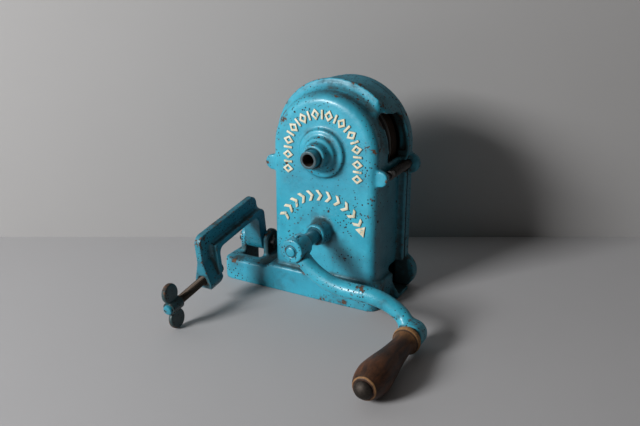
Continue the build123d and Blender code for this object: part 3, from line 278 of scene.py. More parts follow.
def copy_node(node, name):
    """A merged copy of a CAD node's mesh, free of its body."""
    piece = copy_piece(frame["nodes"][node], name)
    bpy.ops.object.parent_clear(type="CLEAR_KEEP_TRANSFORM")
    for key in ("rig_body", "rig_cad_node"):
        del piece[key]
    bpy.ops.mesh.customdata_custom_splitnormals_clear()
    begin_edit(piece)
    bpy.ops.mesh.remove_doubles(threshold=MERGE)
    end_edit()
    return piece


def join(pieces, name):
    choose(*pieces)
    bpy.ops.object.join()
    return active_as(name)


def settle(piece, body, slot, *nodes, look=None):
    """Hands a finished piece to its finish and its body, and hides the nodes that it stands for; the slot
    names the finish when no look is given.
    """
    piece.data.materials.clear()
    piece.data.materials.append(finish(look or slot))
    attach(piece, body)
    if nodes:
        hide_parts(*nodes)
    return piece


def dress(look, *nodes):
    """Gives CAD nodes that keep their own shape a finish."""
    for node in nodes:
        for slot in frame["nodes"][node].material_slots:
            slot.material = finish(look)


# Values of a mesh's points


def point_vectors(mesh, key):
    """The place or the normal of each point."""
    values = np.empty(3 * len(mesh.vertices))
    mesh.vertices.foreach_get(key, values)
    return values.reshape(-1, 3)


def neighbours(mesh):
    """A mean over each point's neighbours, as a function, and the edges' end points."""
    pairs = np.empty(2 * len(mesh.edges), np.int32)
    mesh.edges.foreach_get("vertices", pairs)
    first, second = pairs.reshape(-1, 2).T
    points = len(mesh.vertices)
    shared = np.bincount(pairs, minlength=points).clip(1)

    def around(values):
        total = np.bincount(first, values[second], points)
        return (total + np.bincount(second, values[first], points)) / shared

    return around, first, second


def ramp(values, low, high):
    """0 below low, 1 above high, both in millimetres, and a smooth step between."""
    share = ((values / MM - low) / (high - low)).clip(0, 1)
    return share * share * (3 - 2 * share)


def weigh(piece, name, weights, steps=16):
    """Stores a weight for each point in a new vertex group."""
    group = piece.vertex_groups.new(name=name)
    for step in range(1, steps + 1):
        chosen = np.nonzero(np.round(weights * steps) == step)[0]
        group.add(chosen.tolist(), step / steps, "REPLACE")
    return group.name


def melt(piece, weights, rounds):
    """Smooths a piece where it has weight."""
    modify(piece, "SMOOTH", iterations=rounds, vertex_group=weigh(piece, "melt", weights))
    piece.vertex_groups.clear()


def mark(mesh, name, values):
    mesh.attributes.new(name, "FLOAT", "POINT").data.foreach_set("value", values)


# Name, sign and limits of the bend, per metre, that counts as an edge or a hollow
BENDS = (("edge", 1, 70.0, 300.0), ("hollow", -1, 55.0, 230.0))


def mark_edges(mesh, dust_and_shade, rings=4, reach=36):
    """Stores how far each point faces up and right, and lies on an edge, near one or in a hollow."""
    points = point_vectors(mesh, "co")
    normals = point_vectors(mesh, "normal")
    around, first, second = neighbours(mesh)
    ends = np.concatenate((first, second))
    step = points[second] - points[first]
    square = np.tile((step * step).sum(1) / 2, 2)
    total = np.bincount(ends, square, len(points))
    mean_square = total / np.bincount(ends, minlength=len(points)).clip(1)
    near = np.stack([around(points[:, axis]) for axis in range(3)], 1)
    bend = -((near - points) * normals).sum(1) / mean_square.clip(1e-12)
    for ring in range(rings):
        bend = (bend + around(bend)) / 2
    for name, sign, low, high in BENDS:
        value = ((sign * bend - low) / (high - low)).clip(0, 1)
        for ring in range(2 * rings):
            value = np.maximum(value * 0.97, (value + around(value)) / 2)
        mark(mesh, name, value)
        if name == "edge":
            for ring in range(reach):
                value = np.maximum(value * 0.985, around(value))
            mark(mesh, "rim", value)
    # The up and right marks feed both dust and painted shade; this share scales them
    facing = dust_and_shade * normals.clip(0, 1)
    mark(mesh, "up", facing[:, 2])
    mark(mesh, "right", facing[:, 0])


def mark_shelter(piece, *others, rays=26, reach=50.0 * MM, lift=0.5 * MM, slope=0.3):
    """Stores how closed in each point lies: the share of rays off the surface that meet something near."""
    corners = []
    faces = []
    for mesh in (piece.data, *(frame["nodes"][node].data for node in others)):
        start = len(corners)
        corners.extend(vertex.co for vertex in mesh.vertices)
        faces.extend([start + corner for corner in face.vertices] for face in mesh.polygons)
    tree = BVHTree.FromPolygons(corners, faces)
    turn = np.arange(rays) * math.pi * (3 - math.sqrt(5))
    rise = 1 - (2 * np.arange(rays) + 1) / rays
    out = np.sqrt(1 - rise * rise)
    ways = np.stack([out * np.cos(turn), out * np.sin(turn), rise], 1)
    vectors = [Vector(way) for way in ways]
    normals = point_vectors(piece.data, "normal")
    starts = point_vectors(piece.data, "co") + lift * normals
    value = np.zeros(len(starts))
    for point, (spot, open_ways) in enumerate(zip(starts.tolist(), normals @ ways.T > slope)):
        tried = np.nonzero(open_ways)[0]
        met = sum(tree.ray_cast(spot, vectors[way], reach)[0] is not None for way in tried)
        value[point] = met / max(1, len(tried))
    around = neighbours(piece.data)[0]
    for ring in range(3):
        value = (value + around(value)) / 2
    mark(piece.data, "shelter", value)


# Shapes


def metres(outline):
    return [(radius * MM, y * MM) for radius, y in outline]


def drawn_line(name, points):
    """A line of edges through (X, Y) points, left in edit mode."""
    piece = add("plane", name, size=MM)
    begin_edit(piece)
    bpy.ops.mesh.select_mode(type="VERT")
    bpy.ops.mesh.merge(type="CENTER")
    bpy.ops.transform.translate(value=(*points[0], 0))
    for (x0, y0), (x1, y1) in zip(points, points[1:]):
        bpy.ops.mesh.extrude_vertices_move(TRANSFORM_OT_translate={"value": (x1 - x0, y1 - y0, 0)})
    return piece


def turned(name, outline, steps=48, x=0.0, z=0.0):
    """Turns an outline of (radius, Y) points about an axis along Y."""
    piece = drawn_line(name, outline)
    bpy.ops.mesh.select_all(action="SELECT")
    bpy.ops.mesh.spin(steps=steps, angle=math.tau, center=(0, 0, 0), axis=(0, 1, 0))
    close_mesh()
    bpy.ops.transform.translate(value=(x, 0, z))
    end_edit()
    return shade(piece)


# One turn of a thread: shares of its depth and of its pitch
THREAD = ((1, 0.0), (1, 0.12), (0, 0.45), (0, 0.59), (1, 0.92), (1, 1.0))


def threaded(name, radius, pitch, depth, low, high, steps=20):
    """A closed length of thread about the Y axis, from low to high."""
    start = low - 1.5 * pitch
    piece = drawn_line(name, [(radius - cut * depth, start + along * pitch) for cut, along in THREAD])
    end_edit()
    turns = math.ceil((high - low) / pitch) + 3
    sweep = {"axis": "Y", "angle": math.tau, "screw_offset": pitch, "iterations": turns}
    modify(piece, "SCREW", steps=steps, render_steps=steps, **sweep)
    begin_edit(piece)
    bpy.ops.mesh.remove_doubles(threshold=MERGE)
    for y, side in ((low, "clear_inner"), (high, "clear_outer")):
        bpy.ops.mesh.select_all(action="SELECT")
        bpy.ops.mesh.bisect(plane_co=(0, y, 0), plane_no=(0, 1, 0), use_fill=True, **{side: True})
    close_mesh()
    end_edit()
    return shade(piece)


def machine(node, bevel, body, slot, look=None, name=None):
    """Bevels a copy of a CAD node, by millimetres, and settles it in the node's place."""
    piece = copy_node(node, name or node + "_turned")
    begin_edit(piece)
    bpy.ops.mesh.dissolve_limited(angle_limit=FLAT_ANGLE)
    end_edit()
    return settle(soften(piece, bevel * MM), body, slot, node, look=look)


def casting(node, name, voxel, rounds, dust_and_shade=1.0, reshape=None):
    """A skin over a CAD node with the soft edges and the uneven face of a sand casting."""
    sizes = bpy.context.scene.knife_castings
    piece = copy_node(node, name)
    modify(piece, "REMESH", mode="VOXEL", voxel_size=voxel)
    modify(piece, "SMOOTH", iterations=rounds)
    if reshape:
        reshape(piece)
    lumps = bpy.data.textures.get("cast_lumps") or bpy.data.textures.new("cast_lumps", "CLOUDS")
    lumps.noise_scale = sizes.lump_size
    modify(piece, "DISPLACE", texture=lumps, texture_coords="LOCAL", strength=sizes.lump_height)
    bpy.ops.object.shade_smooth()
    mark_edges(piece.data, dust_and_shade)
    return piece


# Shader nodes


def arithmetic(operation, swapped=False):
    """A method that adds a Math node."""

    def method(self, other):
        first, second = (other, self) if swapped else (self, other)
        return self.skin.node("Math", {0: first, 1: second}, operation=operation)

    return method


class Value:
    """A shader socket. Arithmetic on it adds Math nodes to its finish."""

    def __init__(self, skin, socket):
        self.skin = skin
        self.socket = socket

    __add__ = __radd__ = arithmetic("ADD")
    __mul__ = __rmul__ = arithmetic("MULTIPLY")
    __sub__ = arithmetic("SUBTRACT")
    __rsub__ = arithmetic("SUBTRACT", True)
    __pow__ = arithmetic("POWER")
    most = arithmetic("MAXIMUM")
    least = arithmetic("MINIMUM")

    def rise(self, low, high):
        """0 below low, 1 above high, and a smooth step between."""
        limits = {"Value": self, "From Min": low, "From Max": high}
        return self.skin.node("MapRange", limits, interpolation_type="SMOOTHSTEP")


class Finish:
    """A material and the one way in which nodes are added to it."""

    def __init__(self, name):
        self.material = bpy.data.materials.new(name)
        self.material.use_nodes = True
        self.tree = self.material.node_tree
        self.tree.nodes.clear()
        self.place = self.node("TexCoord", output="Object")

    def node(self, kind, sockets=None, output=0, **settings):
        made = self.tree.nodes.new("ShaderNode" + kind)
        for key, value in settings.items():
            setattr(made, key, value)
        for key, value in (sockets or {}).items():
            if isinstance(value, Value):
                self.tree.links.new(value.socket, made.inputs[key])
            else:
                made.inputs[key].default_value = value
        return Value(self, made.outputs[output]) if made.outputs else None

    def noise(self, scale, detail=4.0, roughness=0.55, place=None, distortion=0.0):
        sockets = {"Scale": scale, "Detail": detail, "Roughness": roughness, "Distortion": distortion}
        return self.node("TexNoise", {"Vector": place or self.place, **sockets})

    def cells(self, scale, output="Distance"):
        return self.node("TexVoronoi", {"Vector": self.place, "Scale": scale}, output)

    def stretch(self, scale, offset=(0, 0, 0)):
        """Object coordinates, stretched and moved."""
        return self.node("Mapping", {"Vector": self.place, "Location": offset, "Scale": scale})

    def along(self, axis):
        return self.node("SeparateXYZ", {"Vector": self.place}, axis)

    def attribute(self, name):
        return self.node("Attribute", output="Fac", attribute_name=name)

    def mix(self, share, below, above):
        below, above = [
            colour if isinstance(colour, Value) else (*colour[:3], 1.0) for colour in (below, above)
        ]
        return self.node("Mix", {0: share, 6: below, 7: above}, 2, data_type="RGBA")

    def bump(self, height):
        """A normal from a height in metres."""
        return self.node("Bump", {"Strength": 1.0, "Distance": 1.0, "Height": height})

    def surface(self, height, **sockets):
        """Ends the tree in a Principled shader."""
        named = {key.replace("_", " "): value for key, value in sockets.items()}
        shader = self.node("BsdfPrincipled", {**named, "Normal": self.bump(height)})
        self.node("OutputMaterial", {"Surface": shader})
        return self.material


# Finishes

# What the castings' points store
MARKS = ("edge", "rim", "hollow", "shelter", "up", "right")


def times(colour, share):
    """A colour made darker or lighter."""
    return [channel * share for channel in colour]


def spots(skin, scale, chance, smallest, largest, ragged, rim):
    """Scattered spots with uneven borders, thickest in places and near the edges."""
    drawn = skin.node("SeparateColor", {"Color": skin.cells(scale, "Color")}, "Red")
    thick = skin.noise(24, 2).rise(0.40, 0.64).most(rim)
    near = skin.cells(scale) + ragged - (thick * (largest - smallest) + smallest)
    return drawn.rise(1 - chance, 1 - chance + 0.02) * (1 - near.rise(-0.03, 0.03))


def painted_iron(skin, light, deep, wear, chips, grime_and_shade):
    """Old gloss paint on cast iron: tone drift, worn edges, chips, specks, dirt and painted shade in the
    hollows, painted shade on faces turned from the lamp and low down, a bare inside that painted shade
    darkens further.
    """
    paint = bpy.context.scene.knife_paint
    edge, rim, hollow, shelter, up, right = map(skin.attribute, MARKS)
    broad = skin.noise(11, 3)
    patch = skin.noise(52, 6, 0.6)
    fine = skin.noise(230, 6, 0.65)
    grain = skin.noise(1300, 2)
    ragged = patch * 0.5 + fine * 0.5 - 0.5
    pale = [min(1.0, channel * 1.5 + 0.01) for channel in light]
    colour = skin.mix(broad.rise(0.36, 0.66), deep, light)
    colour = skin.mix(patch.rise(0.40, 0.74) * 0.45, colour, times(deep, 0.62))
    colour = skin.mix(fine.rise(0.52, 0.8) * 0.14, colour, pale)
    colour = skin.mix((rim * 0.8 + patch - 0.5).rise(0.15, 0.9) * 0.4, colour, times(deep, 0.55))
    # Painted shade: the paint is darker towards the floor
    painted_shade_low = 1 - skin.along("Z").rise(0.0, 60.0 * MM)
    # Dust on the tops, which also darkens them as painted shade
    dust_and_shade = patch.rise(0.48, 0.8) * (0.2 + up * 0.5)
    # Dirt and painted shade: closed-in places, hollows, dusty tops and the low band take the grime colour
    dirt_and_shade = shelter * 1.5 + hollow * 0.85 + dust_and_shade + painted_shade_low * 0.26 + ragged
    dirt_and_shade = dirt_and_shade.rise(0.14, 0.85) * grime_and_shade
    # Painted shade: tops and right sides, turned from the lamp, are darkened
    painted_shade_facing = (up ** 2).most(right ** 2)
    colour = skin.mix(painted_shade_facing * (0.3 + patch * 0.5), colour, times(deep, 0.35))
    colour = skin.mix(dirt_and_shade, colour, paint.grime_and_shade)
    stain = (skin.noise(34, 6, 0.62) + rim * 0.06 + up * 0.05).rise(0.56, 0.76)
    colour = skin.mix(stain * 0.22, colour, paint.stain)
    worn = (edge.least(0.72) * (0.7 + up * 0.3) * wear + ragged * 2.6 - 0.37).rise(0.0, 0.07)
    chip = patch * 0.6 + fine * 0.4 + broad * 0.3 + rim * 0.04 + up * 0.015
    chip = chip.rise(chips, chips + 0.018)
    near = rim.most(up * 0.8).most(right * 0.7)
    small = spots(skin, 330, 0.75, 0.06, 0.29, ragged * 0.4, near)
    large = spots(skin, 105, 0.32, -0.05, 0.22, ragged, near)
    # Bare iron inside the casing and in other closed-in places, and painted shade there
    inner = (shelter + ragged * 0.2).rise(0.66, 0.80)
    bare = worn.most(chip).most(small).most(large).most(inner)
    rust = skin.mix(fine.rise(0.4, 0.66), paint.iron, paint.rust)
    rust = skin.mix(skin.noise(520, 4).rise(0.56, 0.72) * 0.5, rust, times(paint.rust, 1.9))
    # Small specks, and closed-in places as painted shade, are taken darker than the iron
    rust = skin.mix((small - chip - worn).most(inner * 0.85), rust, times(paint.iron, 0.7))
    colour = skin.mix(bare, colour, rust)
    rough = 0.29 + patch * 0.12 + fine * 0.08 + dirt_and_shade * 0.3 + up * 0.26 + stain * 0.08
    rough = rough + bare * (0.86 - rough)
    dulled = skin.along("Y").rise(17.0 * MM, 25.0 * MM) * 0.75
    return skin.surface(
        grain * 0.00006 + fine * 0.00045 + patch * 0.0004 - bare * 0.00016,
        Base_Color=colour,
        Roughness=rough,
        Coat_Weight=(1 - bare) * (1 - dirt_and_shade) * (1 - up * 0.75) * (1 - dulled) * 0.35,
        Coat_Roughness=0.18,
    )


def worn_cream(skin):
    """Cream paint on the raised ornament, rubbed through to the turquoise and the iron, dark with painted
    shadow at its foot.
    """
    paint = bpy.context.scene.knife_paint
    patch = skin.noise(120, 5, 0.6)
    fine = skin.noise(520, 5, 0.65)
    yellowed = [channel * share for channel, share in zip(paint.cream, (0.80, 0.70, 0.5))]
    colour = skin.mix(patch.rise(0.35, 0.7), paint.cream, yellowed)
    turquoise = (patch * 0.55 + fine * 0.45).rise(0.55, 0.62)
    foot = skin.along("Y").rise(-0.8 * MM, -0.2 * MM)
    colour = skin.mix(turquoise * 0.85, colour, paint.light)
    # The relief's foot goes to a dark turquoise: the face's paint there, and painted shadow at the base of
    # the relief
    colour = skin.mix(foot * 0.9, colour, times(paint.deep, 0.45))
    bare = (patch * 0.3 + fine * 0.7).rise(0.62, 0.66)
    colour = skin.mix(bare, colour, paint.rust)
    return skin.surface(fine * 0.00012 + patch * 0.0002, Base_Color=colour, Roughness=0.5 + bare * 0.3)


def old_steel(skin, base, rust, rusted, shine):
    """Turned steel that has darkened and taken rust."""
    patch = skin.noise(90, 6, 0.62)
    fine = skin.noise(480, 6, 0.65)
    edge = skin.attribute("edge")
    colour = skin.mix(fine.rise(0.35, 0.7), times(base, 0.6), base)
    mask = (patch * 0.6 + fine * 0.4 + rusted - 0.5 - edge * 0.08).rise(0.42, 0.62)
    flecked = skin.mix(fine.rise(0.38, 0.68), times(rust, 0.4), rust)
    flecked = skin.mix(skin.noise(900, 3).rise(0.58, 0.74) * 0.6, flecked, times(rust, 1.9))
    colour = skin.mix(mask, colour, flecked)
    rough = shine + fine * 0.2 + mask * (0.85 - shine - 0.15)
    height = fine * 0.00008 + mask * fine * 0.00022
    return skin.surface(height, Base_Color=colour, Metallic=0.92 - mask * 0.8, Roughness=rough)


def worn_lip(skin):
    """Dark paint on the inlet tube, rubbed to pale metal on its lip and black inside."""
    paint = bpy.context.scene.knife_paint
    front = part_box("inlet_tube")[0].y
    patch = skin.noise(90, 5, 0.6)
    fine = skin.noise(420, 5, 0.65)
    ragged = patch * 0.5 + fine * 0.5 - 0.5
    centred = skin.stretch((1, 0, 1), (-DISC_AXIS.x, 0, -DISC_AXIS.z))
    far = skin.node("VectorMath", {0: centred}, "Value", operation="LENGTH")
    bore = 1 - far.rise(6.0 * MM, 6.6 * MM)
    behind = (skin.along("Y") + ragged * 0.004).rise(front + 0.2 * MM, front + 0.9 * MM)
    lip = (1 - behind) * (1 - bore)
    colour = skin.mix(patch.rise(0.36, 0.66), times(paint.deep, 0.75), times(paint.deep, 0.35))
    bare = (fine * 0.6 + patch * 0.4).rise(0.60, 0.64)
    colour = skin.mix(bare, colour, paint.rust)
    colour = skin.mix(lip * 0.7, colour, (0.11, 0.108, 0.10))
    colour = skin.mix(bore, colour, (0.030, 0.020, 0.014))
    rough = 0.38 + bare * 0.4 + bore * 0.3
    return skin.surface(fine * 0.00014, Base_Color=colour, Metallic=lip * 0.7, Roughness=rough)


def tarnished_brass(skin):
    """Tarnished brass, painted over on the front of the crank's bush."""
    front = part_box("crank_bush")[0].y
    patch = skin.noise(110, 5)
    colour = skin.mix(patch.rise(0.35, 0.68), (0.46, 0.30, 0.11), (0.17, 0.105, 0.045))
    over = 1 - skin.along("Y").rise(front + 0.2 * MM, front + 0.6 * MM)
    colour = skin.mix(over, colour, times(bpy.context.scene.knife_paint.deep, 0.3))
    rough = 0.32 + patch * 0.25 + over * 0.2
    height = skin.noise(700, 4) * 0.00006
    return skin.surface(height, Base_Color=colour, Metallic=0.9 - over * 0.9, Roughness=rough)


def greased_iron(skin):
    """Cast gear iron, grey on the faces and dark with old grease between the teeth."""
    patch = skin.noise(80, 6, 0.6)
    fine = skin.noise(420, 5, 0.6)
    colour = skin.mix(patch.rise(0.36, 0.66), (0.16, 0.155, 0.15), (0.035, 0.028, 0.022))
    rough = 0.35 + patch * 0.3 + fine * 0.1
    return skin.surface(fine * 0.00015, Base_Color=colour, Metallic=0.75 - patch * 0.4, Roughness=rough)


def beech(skin):
    """Beech discs, blackened by oil and emery."""
    grain = skin.noise(60, 5, 0.6, skin.stretch((1.0, 1.0, 0.08)), 0.4)
    pores = skin.noise(900, 3, 0.6, skin.stretch((1.0, 1.0, 0.05)))
    colour = skin.mix(grain.rise(0.35, 0.68), (0.075, 0.043, 0.024), (0.030, 0.018, 0.011))
    colour = skin.mix(pores.rise(0.58, 0.72) * 0.6, colour, (0.012, 0.008, 0.006))
    return skin.surface(pores * -0.0001, Base_Color=colour, Roughness=0.6 + grain * 0.2)


def dusty_felt(skin):
    """Pressed felt, black with emery."""
    fibre = skin.noise(1100, 6, 0.7, distortion=1.2)
    patch = skin.noise(60, 5)
    colour = skin.mix(patch.rise(0.35, 0.7), (0.060, 0.054, 0.048), (0.022, 0.020, 0.018))
    colour = skin.mix(fibre.rise(0.52, 0.75) * 0.5, colour, (0.11, 0.10, 0.09))
    sheen = {"Sheen_Weight": 0.3, "Sheen_Roughness": 0.6}
    return skin.surface(fibre * 0.0003, Base_Color=colour, Roughness=0.95, **sheen)


def handled_wood(skin):
    """Dark turned wood, polished by the hand, pale where the collar and the end have worn."""
    front, back = [corner.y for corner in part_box("grip")]
    streak = skin.noise(210, 6, 0.6, skin.stretch((1.0, 0.05, 1.0)), 0.6)
    pores = skin.noise(1500, 3, 0.6, skin.stretch((1.0, 0.035, 1.0)))
    patch = skin.noise(42, 5, 0.6)
    rings = skin.noise(320, 2, 0.5, skin.stretch((0.02, 1.0, 0.02)))
    ragged = (skin.noise(160, 4) - 0.5) * 0.008
    colour = skin.mix(streak.rise(0.36, 0.68), (0.024, 0.0080, 0.0032), (0.104, 0.036, 0.0115))
    colour = skin.mix(patch.rise(0.42, 0.70) * 0.75, colour, (0.018, 0.0080, 0.0040))
    way = skin.along("Y")
    collar = (way + ragged * 0.4).rise(back - 7.4 * MM, back - 6.2 * MM)
    root = (way + ragged * 2.2).rise(back - 26.0 * MM, back - 8.0 * MM)
    tip = 1 - ((way + ragged * 0.1 - (front + 0.9 * MM)) ** 2).rise((0.3 * MM) ** 2, (0.8 * MM) ** 2)
    groove = 1 - ((way - (back - 6.9 * MM)) ** 2).rise((0.3 * MM) ** 2, (0.9 * MM) ** 2)
    rubbed = collar * 0.85 + tip * 0.8 + root * 0.28
    colour = skin.mix((rubbed * (streak * 0.9 + 0.3)).least(1.0), colour, (0.36, 0.19, 0.075))
    colour = skin.mix(groove * 0.85, colour, (0.016, 0.008, 0.004))
    colour = skin.mix(pores.rise(0.56, 0.7) * 0.7, colour, (0.010, 0.005, 0.003))
    height = pores * -0.00012 + streak * 0.00012 + rings * 0.00008
    rough = 0.42 + streak * 0.15 + patch * 0.12 + rubbed * 0.15
    return skin.surface(height, Base_Color=colour, Roughness=rough, Specular_IOR_Level=0.36)


@lru_cache
def finish(look):
    """A material by its name, made when it is first asked for."""
    paint = bpy.context.scene.knife_paint
    light, deep, wear = paint.light, paint.deep, paint.edge_wear
    makers = {
        PAINT: (painted_iron, light, deep, wear, 0.762, 0.9),
        "arm_paint": (painted_iron, light, deep, wear, 0.805, 0.9),
        # The cover's and the clamp's paints are darker copies of the turquoise: painted shade for the
        # cover's drum and the clamp's arm, turned from the lamp
        "turquoise_cover": (painted_iron, times(light, 0.78), deep, wear, 0.785, 0.95),
        CLAMP_PAINT: (painted_iron, times(light, 0.66), times(deep, 0.62), 0.9 * wear, 0.76, 0.95),
        "dark_paint": (painted_iron, times(deep, 0.5), times(deep, 0.4), wear, 0.76, 0.95),
        "wing_paint": (painted_iron, (0.016, 0.060, 0.066), (0.009, 0.026, 0.028), wear, 0.80, 0.9),
        "brown_steel": (old_steel, (0.060, 0.050, 0.043), (0.075, 0.042, 0.026), 0.06, 0.5),
        STEEL: (old_steel, (0.13, 0.125, 0.12), (0.12, 0.055, 0.028), 0.02, 0.3),
        "rusty_steel": (old_steel, (0.075, 0.058, 0.046), (0.125, 0.048, 0.021), 0.14, 0.45),
        "worn_lip": (worn_lip,),
        "cream_relief": (worn_cream,),
        "bearing_brass": (tarnished_brass,),
        "cast_gear": (greased_iron,),
        "disc_wood": (beech,),
        "felt": (dusty_felt,),
        "grip_wood": (handled_wood,),
    }
    maker, *settings = makers[look]
    return maker(Finish(look), *settings)


# Casing and cover

RIM_END = Vector((52.0, 29.0, 195.0)) * MM
RIM_MELT = (8.0, 15.0)
RIM_ROUNDS = 260
COVE_OVER_AXIS = (-7.0, 13.0)
COVE_FRONT = (9.0, 14.0)
COVE_BACK = (24.5, 27.0)
COVE_SIDE = (-10.0, 32.0)
COVE_DARKENING = 0.62
COVE_LEAST = 0.3


def melt_rim(piece):
    """Melts the end of the flared rim into the wall beside the knife slot."""
    away = np.linalg.norm(point_vectors(piece.data, "co") - np.array(RIM_END), axis=1)
    melt(piece, 1 - ramp(away, *RIM_MELT), RIM_ROUNDS)


def darken_cove(mesh):
    """Raises the hollow mark over the cove in front of the flared rim, least on its left, which darkens the
    cove.
    """
    x, y, z = point_vectors(mesh, "co").T
    cove = ramp(z - DISC_AXIS.z, *COVE_OVER_AXIS) * ramp(y, *COVE_FRONT) * (1 - ramp(y, *COVE_BACK))
    cove *= COVE_LEAST + (1 - COVE_LEAST) * ramp(x, *COVE_SIDE)
    stored = mesh.attributes["hollow"].data
    hollow = np.empty(len(y), np.float32)
    stored.foreach_get("value", hollow)
    stored.foreach_set("value", np.maximum(hollow, COVE_DARKENING * cove).astype(np.float32))


class KNIFE_OT_casing(Operator):
    """Skin the front casing and the rear cover as painted iron castings"""

    bl_idname = "knife_cleaner.casing"
    bl_label = "Casing"

    def execute(self, context):
        sizes = context.scene.knife_castings
        case = casting("front_casing", "casing_casting", sizes.case_voxel, sizes.rounds, reshape=melt_rim)
        darken_cove(case.data)
        mark_shelter(case, "rear_cover", "front_disc", "rear_disc", "inlet_tube")
        settle(case, "casing", PAINT, "front_casing")
        cover = casting("rear_cover", "cover_casting", sizes.cover_voxel, sizes.rounds)
        mark_shelter(cover, "front_casing", "rear_disc", "rear_axle_nut")
        settle(cover, "cover", "turquoise_cover", "rear_cover")
        return {"FINISHED"}


# Relief

BAR_STROKE = 1.1
CHEVRON_STROKE = 1.7
CHEVRON_LEAN = 0.36
HEAD_RADIUS = 0.62


def flat(primitive, name, width, height, **settings):
    """A flat primitive at its size, left in edit mode."""
    piece = add(primitive, name, **settings)
    begin_edit(piece)
    bpy.ops.transform.resize(value=(width, height, 1))
    return piece


def raised(piece, relief):
    """Raises a flat outline into relief and softens its edges."""
    begin_edit(piece)
    bpy.ops.mesh.extrude_region_move(TRANSFORM_OT_translate={"value": (0, 0, relief.rise + relief.sink)})
    close_mesh()
    end_edit()
    return soften(piece, relief.stroke / 4)


def lozenge(relief):
    """One open lozenge."""
    size = (relief.lozenge_length, relief.lozenge_height)
    piece = flat("circle", "lozenge", *size, vertices=4, radius=0.5, fill_type="NGON")
    bpy.ops.mesh.inset(thickness=relief.stroke)
    bpy.ops.mesh.delete(type="FACE")
    end_edit()
    return raised(piece, relief)


def bar(relief):
    """One bar between two lozenges."""
    piece = flat("plane", "bar", BAR_STROKE * relief.stroke, relief.bar_height, size=1)
    end_edit()
    return raised(piece, relief)


def chevron(relief):
    """One chevron that points along X."""
    size = (CHEVRON_STROKE * relief.stroke, relief.chevron_height)
    piece = flat("grid", "chevron", *size, x_subdivisions=1, y_subdivisions=2, size=1)
    bpy.ops.mesh.select_all(action="DESELECT")
    end_edit()
    for vertex in piece.data.vertices:
        vertex.select = abs(vertex.co.y) < relief.stroke / 10
    bpy.ops.object.mode_set(mode="EDIT")
    bpy.ops.transform.translate(value=(CHEVRON_LEAN * relief.chevron_height, 0, 0))
    end_edit()
    return raised(piece, relief)


def arrowhead(relief):
    """The head that closes the arrow row, pointing along X."""
    radius = HEAD_RADIUS * relief.chevron_height
    piece = add("circle", "arrowhead", vertices=3, radius=radius, fill_type="NGON")
    for turn in (math.pi / 2, math.pi):
        begin_edit(piece)
        bpy.ops.transform.rotate(value=turn, orient_axis="Z", center_override=(0, 0, 0))
        end_edit()
        if max(piece.data.vertices, key=lambda vertex: abs(vertex.co.x)).co.x > 0:
            break
    return raised(piece, relief)


def on_front(axis, radius, angle, sink):
    """A place on the front face, about an axis: X clockwise, Y outwards, Z off the face."""
    turn = math.radians(angle)
    out = Vector((math.cos(turn), 0, math.sin(turn)))
    along = Vector((math.sin(turn), 0, -math.cos(turn)))
    matrix = Matrix((along, out, Vector((0, -1, 0)))).transposed().to_4x4()
    matrix.translation = Vector((axis.x, sink, axis.z)) + radius * out
    return matrix


class KNIFE_OT_relief(Operator):
    """Raise a lozenge border about the inlet and a turning arrow about the crank"""

    bl_idname = "knife_cleaner.relief"
    bl_label = "Front relief"

    arrow_from = 157.8
    arrow_to = 22.0

    def execute(self, context):
        relief = context.scene.knife_relief
        models = {shape.__name__: shape(relief) for shape in (lozenge, bar, chevron, arrowhead)}
        quarter = math.pi / 2 * relief.border_radius
        run = 2 * (quarter + relief.leg)
        marks = []
        for step in range(2 * relief.lozenges - 1):
            way = run * step / (2 * relief.lozenges - 2) - run / 2
            angle = 90 * (1 - min(1.0, max(-1.0, way / quarter)))
            axis = DISC_AXIS - Vector((0, 0, max(0.0, abs(way) - quarter)))
            spot = on_front(axis, relief.border_radius, angle, relief.sink)
            marks.append((models["bar" if step % 2 else "lozenge"], spot))
        self.row("inlet_border", marks)
        axis = CRANK_AXIS - Vector((0, 0, relief.arrow_drop))
        marks = []
        for step in range(relief.chevrons + 1):
            angle = self.arrow_from + (self.arrow_to - self.arrow_from) * step / relief.chevrons
            spot = on_front(axis, relief.arrow_radius, angle, relief.sink)
            marks.append((models["chevron" if step < relief.chevrons else "arrowhead"], spot))
        self.row("turning_arrow", marks)
        for model in models.values():
            bpy.data.objects.remove(model)
        return {"FINISHED"}

    def row(self, name, marks):
        """Copies models to their places and joins them in one piece."""
        piece = join([place(copy_piece(model, "mark"), spot) for model, spot in marks], name)
        settle(piece, "casing", PAINT, look="cream_relief")


# Crank and grip

LEAD_RUN = (66.0, 106.0)
LEAD_OFF_AXIS = (12.5, 20.0)
LEAD = 3.2 * MM
EYE_RUN = (84.0, 100.0)
EYE_OFF_AXIS = (6.0, 9.0)
EYE_BEHIND = (2.0, 6.0)
EYE_ROUNDS = 300


def blend_eye(piece):
    """Leads the crank arm along the back of its eye and smooths the join, off the eye's face and bore."""
    x, y, z = point_vectors(piece.data, "co").T
    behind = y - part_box("crank_arm")[0].y
    off_axis = np.hypot(x - GRIP_AXIS.x, z - GRIP_AXIS.z)
    group = weigh(piece, "lead", ramp(x, *LEAD_RUN) * ramp(off_axis, *LEAD_OFF_AXIS))
    modify(piece, "DISPLACE", direction="Y", strength=LEAD, mid_level=0.0, vertex_group=group)
    joined = ramp(x, *EYE_RUN) * ramp(off_axis, *EYE_OFF_AXIS) * ramp(behind, *EYE_BEHIND)
    melt(piece, joined, EYE_ROUNDS)


